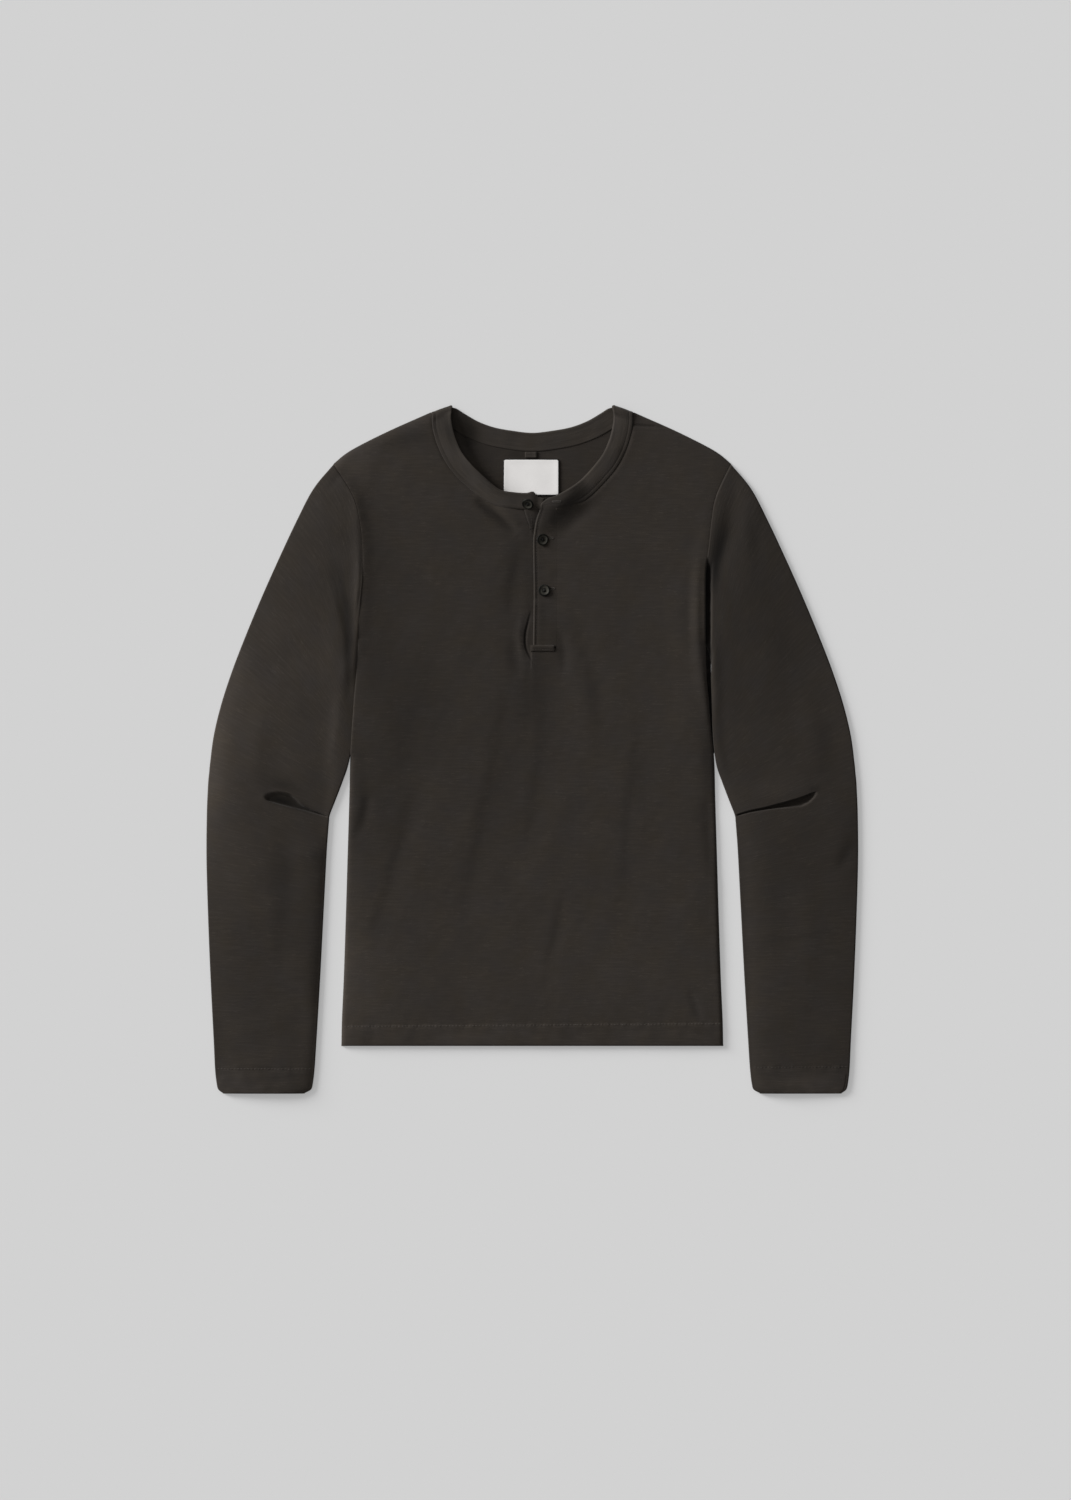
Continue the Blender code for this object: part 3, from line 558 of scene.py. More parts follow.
def close_runs(runs):
    """The runs with straight joins between them, so that they make one closed loop."""
    closed = []
    for i, run in enumerate(runs):
        following = runs[(i + 1) % len(runs)][0]
        closed.append(run)
        if np.linalg.norm(run[-1] - following) > 1e-6:
            closed.append(np.array([run[-1], following]))
    return closed


def back_outline(step, inset):
    """The back lies a little inside the front's sides, but fills the gap at the right sleeve."""
    seam_rows = band_fold(1)[-1:] + BAND_BACK
    seam_rows += [mirrored(row) for row in seam_rows[-2::-1]]
    neck = seam_line(seam_rows, BACK_TUCK)[::-1]
    edges = []
    for side in ("right", "left"):
        edge = every(body_edge(side), 2.0)
        beside = beside_sleeve(edge[:, 1]) * (side == "right")
        move = beside * (beside_gap(side, edge[:, 1]) + 0.3) - (1 - beside) * inset
        edges.append(edge + np.column_stack([SIGN[side] * move, np.zeros(len(edge))]))
    shoulder_drop = np.array([0, inset])
    edges = [np.where(edge[:, 1:] > 271, edge - shoulder_drop, edge) for edge in edges]
    hem = np.array([(HALF_HEM - inset, HEM_Y), (inset - HALF_HEM, HEM_Y)])
    runs = [edges[0][::-1], hem, edges[1], neck]
    return np.vstack([every(run, step)[:-1] for run in close_runs(runs)])


# Meshes.


def new_object(name, data):
    obj = bpy.data.objects.new(name, data)
    bpy.context.scene.collection.objects.link(obj)
    return obj


def add_object(name, verts, faces, slot, material, uv=None, wear=None, dye_and_shade=None):
    """A mesh piece from points in millimetres, riding on the shirt."""
    mesh = bpy.data.meshes.new(name)
    mesh.from_pydata((MM * np.asarray(verts, float)).tolist(), [], faces)
    bm = bmesh.new()
    bm.from_mesh(mesh)
    bmesh.ops.recalc_face_normals(bm, faces=bm.faces)
    bm.to_mesh(mesh)
    bm.free()
    if uv is not None:
        layer = mesh.uv_layers.new(name="cloth")
        corner = np.zeros(len(mesh.loops), np.int32)
        mesh.loops.foreach_get("vertex_index", corner)
        placed = (MM * np.asarray(uv, float))[corner]
        layer.data.foreach_set("uv", placed.astype(np.float32).ravel())
    # wear pales the cloth along worn edges; the second attribute darkens or pales its colour: some
    # uneven dyeing, mostly painted shade and painted light.
    for label, values in (("wear", wear), ("dye_and_shade", dye_and_shade)):
        if values is not None:
            attribute = mesh.attributes.new(label, "FLOAT", "POINT")
            attribute.data.foreach_set("value", np.asarray(values, np.float32))
    mesh.shade_smooth()
    mesh.materials.append(material)
    obj = new_object(name, mesh)
    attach(obj, "root")
    return obj


def inside(points, outline):
    ends = np.roll(outline, -1, axis=0)
    found = np.zeros(len(points), bool)
    for (x0, y0), (x1, y1) in zip(outline, ends):
        if y0 != y1:
            crosses = (points[:, 1] < y0) != (points[:, 1] < y1)
            at = x0 + (points[:, 1] - y0) * (x1 - x0) / (y1 - y0)
            found ^= crosses & (points[:, 0] < at)
    return found


def grid(low, high, step):
    """A staggered grid of points over a box."""
    columns = np.arange(low[0] + step / 2, high[0], step)
    lines = np.arange(low[1] + step / 2, high[1], step)
    x, y = np.meshgrid(columns, lines)
    x = x + (np.arange(len(lines)) % 2 * step / 2)[:, None]
    return np.column_stack([x.ravel(), y.ravel()])


def fill_points(outline, step, rims, dense):
    """Points inside an outline: rings beside its edge, a plain grid, and finer boxes."""
    loop = closed(outline)
    tangent = unit(np.roll(outline, -1, axis=0) - np.roll(outline, 1, axis=0))
    inward = np.column_stack([-tangent[:, 1], tangent[:, 0]])
    if inside(outline + 0.05 * inward, outline).mean() < 0.5:
        inward = -inward
    kept = []
    for k, rim in enumerate(rims):
        ring = (outline + rim * inward)[k % 2 :: 2] if rim > 1 else outline + rim * inward
        kept.append(ring[inside(ring, outline) & (gap_to(ring, loop) > 0.9 * rim)])
    last_rim = rims[-1] if rims else 0

    def spread(low, high, pitch):
        points = grid(low, high, pitch)
        points = points[inside(points, outline)]
        return points[gap_to(points, loop) > last_rim + 0.55 * pitch]

    plain = spread(outline.min(axis=0), outline.max(axis=0), step)
    for low, high, fine in dense:
        within = ((plain > low) & (plain < high)).all(axis=1)
        plain = np.vstack([plain[~within], spread(low, high, fine)])
    return np.vstack([*kept, plain])


def triangles(outline, inner):
    """Triangles that fill an outline and use the inner points, each turned up."""
    points = [Vector(p) for p in np.vstack([outline, inner])]
    loop = list(range(len(outline)))
    edges = [(i, (i + 1) % len(outline)) for i in loop]
    found = delaunay_2d_cdt(points, edges, [loop], 1, 1e-6)
    return [tuple(face) for face in found[2]]


def panel(name, outline, face, underside, steps, rims, dense, material, wear, dye_and_shade):
    """A closed thin shell: face and underside are heights over the outline."""
    top_inner = fill_points(outline, steps[0], rims, dense)
    low_inner = fill_points(outline, steps[1], [], [])
    top, low = np.vstack([outline, top_inner]), np.vstack([outline, low_inner])
    top_z = face(top)
    under_rim = np.concatenate([top_z[: len(outline)] - 0.3, underside(low_inner)])
    low_z = np.minimum(underside(low), under_rim)
    verts = np.vstack([np.column_stack([top, top_z]), np.column_stack([low, low_z])])
    shift, count = len(top), len(outline)
    faces = triangles(outline, top_inner)
    faces += [tuple(i + shift for i in f[::-1]) for f in triangles(outline, low_inner)]
    faces += [(i, (i + 1) % count, (i + 1) % count + shift, i + shift) for i in range(count)]
    uv = verts[:, :2]
    # The face carries the wear and the painted shade and light; the underside carries none.
    worn, dyed_and_shaded = (np.concatenate([part(top), np.zeros(len(low))]) for part in (wear, dye_and_shade))
    return add_object(name, verts, faces, "jersey", material, uv, worn, dyed_and_shaded)


def ring_faces(rows, count, joined=False):
    """Quads between rings of count points; the end rings are capped, or joined to each other."""
    faces = []
    for k in range(rows if joined else rows - 1):
        a, b = k * count, (k + 1) % rows * count
        for i in range(count):
            j = (i + 1) % count
            faces.append((a + i, a + j, b + j, b + i))
    if not joined:
        last = (rows - 1) * count
        faces += [tuple(range(count)), tuple(range(last, last + count))]
    return faces


def outline_area(outline):
    x, y = (outline * MM).T
    return abs(float(np.dot(x, np.roll(y, -1)) - np.dot(y, np.roll(x, -1)))) / 2


def declare_sheet(obj, node, width, length, area, rests_on, with_pieces=()):
    """The piece stands for its solid; its width and length, in millimetres, are not used."""
    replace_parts(obj, node)
    list(with_pieces)
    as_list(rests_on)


# Materials.


def set_inputs(node, inputs):
    """Each input gets a value, or a link from another node's output."""
    for key, value in inputs.items():
        if isinstance(value, bpy.types.NodeSocket):
            node.id_data.links.new(value, node.inputs[key])
        else:
            node.inputs[key].default_value = value


def add_node(tree, kind, inputs, output=0, **settings):
    """One output of a new shader node."""
    made = tree.nodes.new(f"ShaderNode{kind}")
    for key, value in settings.items():
        setattr(made, key, value)
    set_inputs(made, inputs)
    return made.outputs[output]


def math_node(tree, operation, *values):
    return add_node(tree, "Math", dict(enumerate(values)), operation=operation)


def vector_node(tree, operation, *values):
    return add_node(tree, "VectorMath", dict(enumerate(values)), operation=operation)


def noise(tree, vector, scale, detail, offset):
    """Noise between 0 and 1, scale being how many features there are in a metre, each way."""
    placed = add_node(
        tree, "Mapping", {"Vector": vector, "Scale": (*scale, 1), "Location": (offset, offset, 0)}
    )
    inputs = {"Vector": placed, "Scale": 1.0, "Detail": detail, "Roughness": 0.5}
    return add_node(tree, "TexNoise", inputs, noise_dimensions="2D")


def ramp_between(tree, value, low, high, out_low=0.0, out_high=1.0):
    return add_node(
        tree, "MapRange", {0: value, 1: low, 2: high, 3: out_low, 4: out_high}, clamp=True
    )


def painted(tree, attribute):
    return add_node(tree, "Attribute", {}, "Fac", attribute_name=attribute)


def bump(tree, height, strength, distance=0.0001):
    return add_node(tree, "Bump", {"Height": height, "Strength": strength, "Distance": distance})


def new_material(name, roughness, specular, sheen=0.0):
    material = bpy.data.materials.new(name)
    material.use_nodes = True
    shader = material.node_tree.nodes["Principled BSDF"]
    set_inputs(shader, {
        "Roughness": roughness, "Specular IOR Level": specular, "Sheen Weight": sheen
    })
    return material, material.node_tree, shader


def shades(tree, value, color, dark, light):
    """The colour at 0.5, darker towards 0 and lighter towards 1."""
    made = add_node(tree, "ValToRGB", {"Fac": value})
    ramp = made.node.color_ramp
    ramp.elements.new(0.5)
    for element, place, share in zip(ramp.elements, (0.0, 0.5, 1.0), (dark, 1.0, light)):
        element.position = place
        element.color = (*tinted(color, share), 1)
    return made


def tinted(color, share):
    return tuple(share * c for c in color)


WALE = 0.0009  # width of one column of knit stitches
COURSE = 0.0007  # height of one row


def jersey(name, color, flecks=1.0):
    """Slub jersey, garment-dyed: rows of V stitches, uneven yarn, pale flecks and worn edges."""
    material, tree, shader = new_material(name, 0.93, 0.1, 0.06)
    cloth = add_node(tree, "UVMap", {}, uv_map="cloth")
    blend, yarn = partial(math_node, tree), partial(noise, tree, cloth)

    slub = ramp_between(tree, yarn((150, 1050), 2.0, 3.0), 0.60, 0.74)
    patchy = ramp_between(tree, yarn((42, 60), 1.0, 11.0), 0.42, 0.62)
    flecked = blend("MULTIPLY", slub, patchy)
    streaks = yarn((55, 620), 2.0, 7.0)
    total = 0.5
    for value, centre, share in (
        (streaks, 0.5, 0.30),
        (yarn((26, 22), 3.0, 5.0), 0.5, 0.15),
        (yarn((7, 6), 2.0, 17.0), 0.5, 0.12),
        (flecked, 0.0, 0.22 * flecks),
        (painted(tree, "wear"), 0.0, 0.22),
    ):
        total = blend("ADD", blend("MULTIPLY_ADD", value, share, -centre * share), total)
    # The colour is scaled by the mesh's painted shade and painted light, with some uneven dyeing.
    dye_and_shade_factor = blend("ADD", painted(tree, "dye_and_shade"), 1.0)
    inputs = {0: shades(tree, total, color, 0.62, 1.75), "Scale": dye_and_shade_factor}
    dyed_and_shaded = add_node(tree, "VectorMath", inputs, operation="SCALE")
    hue = vector_node(
        tree, "MULTIPLY_ADD", yarn((40, 44), 1.0, 29.0), (-0.06, 0.0, 0.16), (1.03, 1.0, 0.92)
    )

    axes = add_node(tree, "SeparateXYZ", {"Vector": cloth}).node.outputs
    across = blend("PINGPONG", blend("MULTIPLY", axes[0], 1 / WALE), 0.5)
    rows = blend("MULTIPLY_ADD", axes[1], 1 / COURSE, blend("MULTIPLY", across, 0.9))
    stitches = blend("SINE", blend("MULTIPLY", rows, 2 * math.pi))
    columns = blend("SINE", blend("MULTIPLY", across, 2 * math.pi))
    height = blend("MULTIPLY", blend("MULTIPLY_ADD", stitches, 0.35, columns), 0.5)
    for value, share in ((yarn((900, 1100), 3.0, 23.0), 1.2), (streaks, 1.4), (flecked, 0.8)):
        height = blend("MULTIPLY_ADD", value, share, height)
    set_inputs(shader, {
        "Base Color": vector_node(tree, "MULTIPLY", dyed_and_shaded, hue),
        "Normal": bump(tree, height, 0.35, 0.00022),
    })
    return material


def thread(name, color):
    """Sewing thread, twisted."""
    material, tree, shader = new_material(name, 0.7, 0.25)
    place = add_node(tree, "TexCoord", {}, "Object")
    inputs = {"Vector": place, "Scale": 900.0, "Distortion": 1.5, "Detail": 1.0}
    twist = add_node(tree, "TexWave", inputs, "Fac", bands_direction="DIAGONAL")
    set_inputs(shader, {
        "Base Color": shades(tree, twist, color, 0.7, 1.3),
        "Normal": bump(tree, twist, 0.4),
    })
    return material


def satin(name, color):
    """White woven satin: fine floats that run across the label."""
    material, tree, shader = new_material(name, 0.5, 0.4, 0.1)
    cloth = add_node(tree, "UVMap", {}, uv_map="cloth")
    floats = noise(tree, cloth, (500, 4200), 2.0, 2.0)
    total = math_node(tree, "MULTIPLY_ADD", floats, 0.5, 0.0)
    total = math_node(tree, "MULTIPLY_ADD", noise(tree, cloth, (60, 60), 2.0, 9.0), 0.5, total)
    set_inputs(shader, {
        "Base Color": shades(tree, total, color, 0.9, 1.06),
        "Normal": bump(tree, floats, 0.3),
    })
    return material


def resin(name, color):
    """Moulded resin, cloudy and finely scratched, drawn nearly black at its rim and darker in its
    sunk centre as painted shade.
    """
    material, tree, shader = new_material(name, 0.6, 0.1)
    place = add_node(tree, "TexCoord", {}, "Object")
    cloud, fine = (
        add_node(tree, "TexNoise", {"Vector": place, "Scale": scale, "Detail": detail})
        for scale, detail in ((260.0, 3.0), (2400.0, 2.0))
    )
    radius = painted(tree, "radius")
    # Painted shade: darker in the sunk centre, nearly black at the rim.
    shaded_core = math_node(tree, "MULTIPLY", ramp_between(tree, radius, 0.44, 0.32), 0.7)
    dark = math_node(tree, "MAXIMUM", ramp_between(tree, radius, 0.70, 0.82), shaded_core)
    total = math_node(tree, "MULTIPLY_ADD", dark, -0.5, cloud)
    set_inputs(shader, {
        "Base Color": shades(tree, total, color, 0.12, 1.8),
        "Roughness": ramp_between(tree, fine, 0.3, 0.7, 0.55, 0.70),
        "Normal": bump(tree, fine, 0.15),
    })
    return material


CLOTH_COLOR = (0.0282, 0.0234, 0.0194)
TRIM_COLOR = (0.0306, 0.0257, 0.0215)


jersey_material = jersey("jersey", CLOTH_COLOR)
# The left sleeve's cloth is drawn a little paler and the right's darker: lit and shaded copies of
# one cloth, painted light and shade.
sleeve_lit_and_shaded_materials = {
    "left": jersey("jersey_left_sleeve_lit", tinted(CLOTH_COLOR, 1.02)),
    "right": jersey("jersey_right_sleeve_shaded", tinted(CLOTH_COLOR, 0.88)),
}
# The back's wrong side, seen inside the neck, is the same cloth drawn darker: painted shade.
shaded_inside_material = jersey("jersey_wrong_side_shaded", tinted(CLOTH_COLOR, 0.88), 0.3)
trim_material = jersey("jersey_trim", TRIM_COLOR, 0.5)
thread_material = thread("sewing_thread", (0.050, 0.043, 0.037))
tonal_thread = thread("tonal_thread", (0.033, 0.028, 0.0235))
button_thread = thread("button_thread", (0.008, 0.0075, 0.0065))
black_thread = thread("black_thread", (0.006, 0.0055, 0.005))
label_material = satin("label_satin", (0.745, 0.727, 0.713))
button_material = resin("button_resin", (0.035, 0.033, 0.027))


# Front and back.


def wrap(level, distance, edge_z, reach):
    """The face turns down to edge_z at an edge, along a quarter ellipse that is reach wide."""
    t = 1 - np.clip(distance / reach, 0, 1)
    return edge_z + (level - edge_z) * np.sqrt(np.maximum(1 - t * t, 0))


def sag(points, curve, drop, reach):
    return drop * np.exp(-((gap_to(points, curve) / reach) ** 1.3))


def puckers(points, curve, depth, width, wavelength, seed):
    """Small uneven dimples along a sewn line."""
    distance, along, _ = nearest(points, curve)
    rng = np.random.default_rng(seed)
    run = along * lengths(curve)[-1]
    wave = np.zeros(len(points))
    for k in range(5):
        wave += np.sin(2 * math.pi * run / (wavelength * (0.55 + 0.35 * k)) + 6.3 * rng.random())
    wave = 0.5 + 0.5 * np.clip(wave / 2.2, -1, 1)
    return -depth * wave * hill(distance, width)


HEM_STITCH = np.array([(-180.6, -263.5), (-60.0, -262.6), (60.0, -261.6), (180.6, -260.8)])
SHOULDER_SEAM = {
    "right": [(95.5, 308.2), (104.0, 307.4), (115.0, 306.9), (126.0, 307.0)],
    "left": [(-97.0, 316.8), (-128.0, 302.6), (-158.0, 287.6), (-187.0, 268.6)],
}
SHOULDER_GROOVE = {"left": 0.3, "right": 0.6}
EDGE_Z = {"side": 0.5, "gap": 0.9, "shoulder": 0.8, "hem": 2.5}
EDGE_LIFT = {"left": 2.65, "right": 0.6}  # how much higher the side's edge is beside the sleeve
UNDER_LIFT = {"left": 2.5, "right": 0.55}  # the same for the underside
ARMHOLE_DROP = {"left": 0.15, "right": 0.35}
ONTO_BAND = [Point(8.0, 232.5), *OVERLAP_EDGE]


def overlap_edge_x(y):
    edge = spline(ONTO_BAND, 6)[::-1]
    return np.interp(y, edge[:, 1], edge[:, 0])


def standing(points):
    on_overlap = soft_step((points[:, 0] - overlap_edge_x(points[:, 1]) + 3.0) / 3.0)
    return fold_relief(points, [STANDING]) * on_overlap


def front_level(points):
    """The front's face without the turned edges: its crown, creases, hem and seams."""
    x, y = points[:, 0], points[:, 1]
    level = np.full(len(points), FRONT_CROWN)
    for side in SIDES:
        flush = 0.65 * beside_sleeve(y) * (side == "left")
        flush = np.maximum(flush, 0.6 * soft_step((-50.0 - y) / 40.0) * (side == "right"))
        level -= sag(points, side_curve(side), 1.5, 10.0) * (1 - flush)
        level -= sag(points, shoulder_curve(side), 1.8, 11.0)
    level += sag(points, armhole("left"), 1.5, 9.0) * (1 + 0.5 * soft_step((y - 150) / 40))
    level -= sag(points, armhole("right"), 0.4, 5.0)
    level -= sag(points, HEM_LINE, 0.7, 14.0)
    left_of_slit = x < UNDERLAP_SEAM[-1].x
    level -= np.where(left_of_slit, sag(points, np.array(UNDERLAP_SEAM), 1.5, 20.0), 0)
    level += fold_relief(points, FRONT_FOLDS) + standing(points)
    level += ripples(points, 11, 52.0, 0.10, 0.4, 0.9) + ripples(points, 12, 17.0, 0.035, 0.2)

    hem_line = np.interp(x, HEM_STITCH[:, 0], HEM_STITCH[:, 1])
    level += 0.45 * soft_step((hem_line + 1.6 - y) / 2.0)
    level += puckers(points, HEM_STITCH, 0.42, 1.5, 9.0, 21)
    level += puckers(points, HEM_STITCH - np.array([0, 8.0]), 0.22, 5.0, 26.0, 22)
    for side in SIDES:
        level += puckers(points, armhole(side), 0.2, 4.0, 12.0, 23)
        distance = gap_to(points, np.array(SHOULDER_SEAM[side]))
        level -= SHOULDER_GROOVE[side] * hill(distance, 0.8)
    over = level - LOWEST_FACE
    return LOWEST_FACE + (over + np.sqrt(over**2 + 0.16)) / 2


def band_seam_shows(x):
    """1 where the band's seam shows as a line, 0 where band and front run into each other."""
    return np.where(x < 0, soft_step((-x - 48) / 14), soft_step((x - 40) / 12))


def fold_opens(y):
    """1 where there is an open fold beside the right armhole, 0 above it."""
    return soft_step((184 - y) / 16)


def front_face(points):
    x, y = points[:, 0], points[:, 1]
    level = front_level(points)
    left_of_slit = x < 5
    near_slit = left_of_slit & (y < PLACKET_TOP + 1) & (y > PLACKET_BOTTOM - 6)
    into = soft_step((x - (overlap_edge_x(y) - 6.0)) / 5.5)
    into *= soft_step((y - (PLACKET_BOTTOM - 5)) / 5)
    level = np.where(near_slit, level - (level - 2.7) * into * soft_step((216 - y) / 8), level)

    for side in SIDES:
        beside = beside_sleeve(y)
        reach = 3.4 - 2.1 * beside * (side == "left")
        edge_z = EDGE_Z["side"] + EDGE_LIFT[side] * beside
        level = wrap(level, gap_to(points, side_curve(side)), edge_z, reach)
        level = wrap(level, gap_to(points, shoulder_curve(side)), EDGE_Z["shoulder"], 5.5)
        distance = gap_to(points, armhole(side))
        open_gap = fold_opens(y) if side == "right" else np.zeros(len(points))
        sewn_z = level - ARMHOLE_DROP[side]
        edge_z = sewn_z - (sewn_z - EDGE_Z["gap"]) * open_gap
        reach = 1.6 - 0.3 * open_gap
        level = np.where(distance < reach, wrap(level, distance, edge_z, reach), level)
    level = wrap(level, y - HEM_Y, EDGE_Z["hem"], 1.3)
    for seam in front_seams():
        distance = gap_to(points, seam)
        out = np.where(inside(points, NECK_LOOP), -distance, distance)
        shows = band_seam_shows(x)
        groove = shows * (0.25 * hill(out - 0.1, 0.6) + 0.9 * soft_step(-out))
        rise = np.where(x > 0, 0.4, 0.0) * hill(np.maximum(out, 0), 5.0)
        level = np.where(distance < 12.0, level + rise - groove, level)
    return level


NECK_LOOP = np.vstack(front_seams())  # the band's sewn edge at the front, closed across the top


def front_underside(points):
    low = np.full(len(points), FRONT_UNDERSIDE)
    for side in SIDES:
        raised = UNDER_LIFT[side] * beside_sleeve(points[:, 1])
        for curve, edge_z in (
            (side_curve(side), 0.2 + raised), (shoulder_curve(side), 0.3), (armhole(side), 0.7)
        ):
            distance = gap_to(points, curve)
            low = np.where(distance < 2.2, edge_z + (low - edge_z) * soft_step(distance / 2.2), low)
    return low


# How much darker (below 0) or paler the cloth's colour is drawn, in the same terms as folds:
# some uneven dyeing over broad parts, mostly painted shade and painted light on slopes that
# face away from or towards the light, in and beside creases, elbow tucks and the open folds at
# the armholes, and under the raised neckband.
FRONT_DYE_AND_SHADE = table(Fold, [
    # broad parts
    (30.0, -0.17, [(-150, 215), (-148, 120), (-134, 30), (-138, -60), (-144, -110)]),
    (17.0, 0.26, [(-181, -110), (-180, -200), (-179, -310)]),
    (26.0, 0.22, [(-158, -170), (-148, -215), (-146, -300)]),
    (34.0, 0.06, [(-150, 296), (-130, 280), (-110, 250)]),
    (20.0, 0.28, [(-190, 276), (-170, 266), (-150, 258)]),
    (20.0, 0.13, [(138, 180), (138, 90), (136, 0)]),
    (20.0, -0.12, [(-96, 90), (-92, 30), (-94, -30)]),
    (60.0, 0.075, [(-150, -220), (0, -214), (180, -220)]),
    (10.0, 0.13, [(174, -110), (179, -200), (182, -300)]),
    # along the placket
    (14.0, -0.04, [(-14, 196), (-20, 160), (-24, 110), (-20, 74)]),
    (10.0, -0.20, [(4, 224), (2, 190), (2, 150), (1, 104)]),
    (13.0, -0.28, [(10, 114), (1, 80), (-8, 44), (-14, 18)]),
    (18.0, -0.13, [(-10, 50), (-22, -10), (-38, -80), (-52, -150)]),
    (12.0, -0.10, [(18, 70), (16, 20), (8, -40)]),
    (8.0, 0.09, [(30, 84), (43, 40), (44, 6)]),
    (5.0, -0.2, [(10, 142), (10, 120), (9, 98)]),
    (9.0, -0.16, [(105, 4), (106, -50), (104, -104)]),
    # beside the neckband
    (9.5, -0.32, [(60, 254), (50, 244), (41, 235), (33, 227), (26, 219), (20, 209)]),
    (8.0, -0.46, [(34, 250), (21, 237), (12, 223), (6, 204)]),
    (3.6, -0.34, [(-55, 240), (-44, 230), (-36, 223), (-26, 214), (-14, 203)]),
    (11.0, 0.26, [(-64, 262), (-46, 242), (-26, 233), (-6, 232)]),
    (7.0, -0.62, [(-84, 324), (-79.5, 306), (-75.5, 292), (-67, 274)]),
    (8.0, -0.30, [(-148, 286), (-128, 292), (-110, 297), (-94, 303)]),
    # sides
    (7.0, -0.25, [(169, 22), (166, -8), (168, -46)]),
    (3.2, 0.45, [(164, 200), (161.5, 165), (161.5, 125), (163, 90), (167, 50), (170, 6)]),
    (3.0, 0.30, [(-162, 190), (-161.5, 160), (-161.5, 130), (-163, 100)]),
    (4.2, -0.14, [(-172, 258), (-164, 240), (-158.5, 216), (-156, 195), (-157, 172)]),
    (8.0, 0.14, [(166, 234), (161, 205), (158, 168)]),
    (9.0, -0.26, [(-168, 14), (-163, -40), (-162, -75), (-170, -110)]),
    (6.0, -0.14, [(-175, -84), (-177, -140), (-178, -206)]),
    (10.0, 0.22, [(-112, -268), (-66, -272), (-10, -270)]),
    (4.0, 0.15, [(97, 298), (87, 276), (71, 254)]),
    # thin lines
    (2.4, -0.3, [(-4.5, 227), (-2.2, 216), (0.2, 205)]),
    (0.8, -0.6, [(-0.6, 134), (-4.5, 120), (-7.0, 108), (-6.2, 96), (0.2, 82)]),
    (0.7, -0.40, [(93, 308.3), (104.0, 307.4), (115.0, 306.9), (129.0, 307.0)]),
    (0.8, -0.5, [(185, 266), (179.8, 252), (173.6, 236), (170.5, 216), (168.4, 195), (165.6, 172)]),
])
# On the back inside the neck: the painted shadow of the raised left band, paler patches that
# lighten that shadow, and painted shade beside the tab.
BACK_PAINTED_SHADE = table(Fold, [
    (8.0, -0.60, [(-70, 326), (-63, 311), (-59, 300), (-57, 286)]),
    (3.6, 0.60, [(-74, 304), (-70, 293), (-65, 283), (-58, 273), (-50, 264)]),
    (7.0, 0.30, [(-61, 290), (-54, 274), (-44, 260), (-32, 250)]),
    (5.0, -0.25, [(-24, 281), (-12, 280), (-3, 280)]),
])
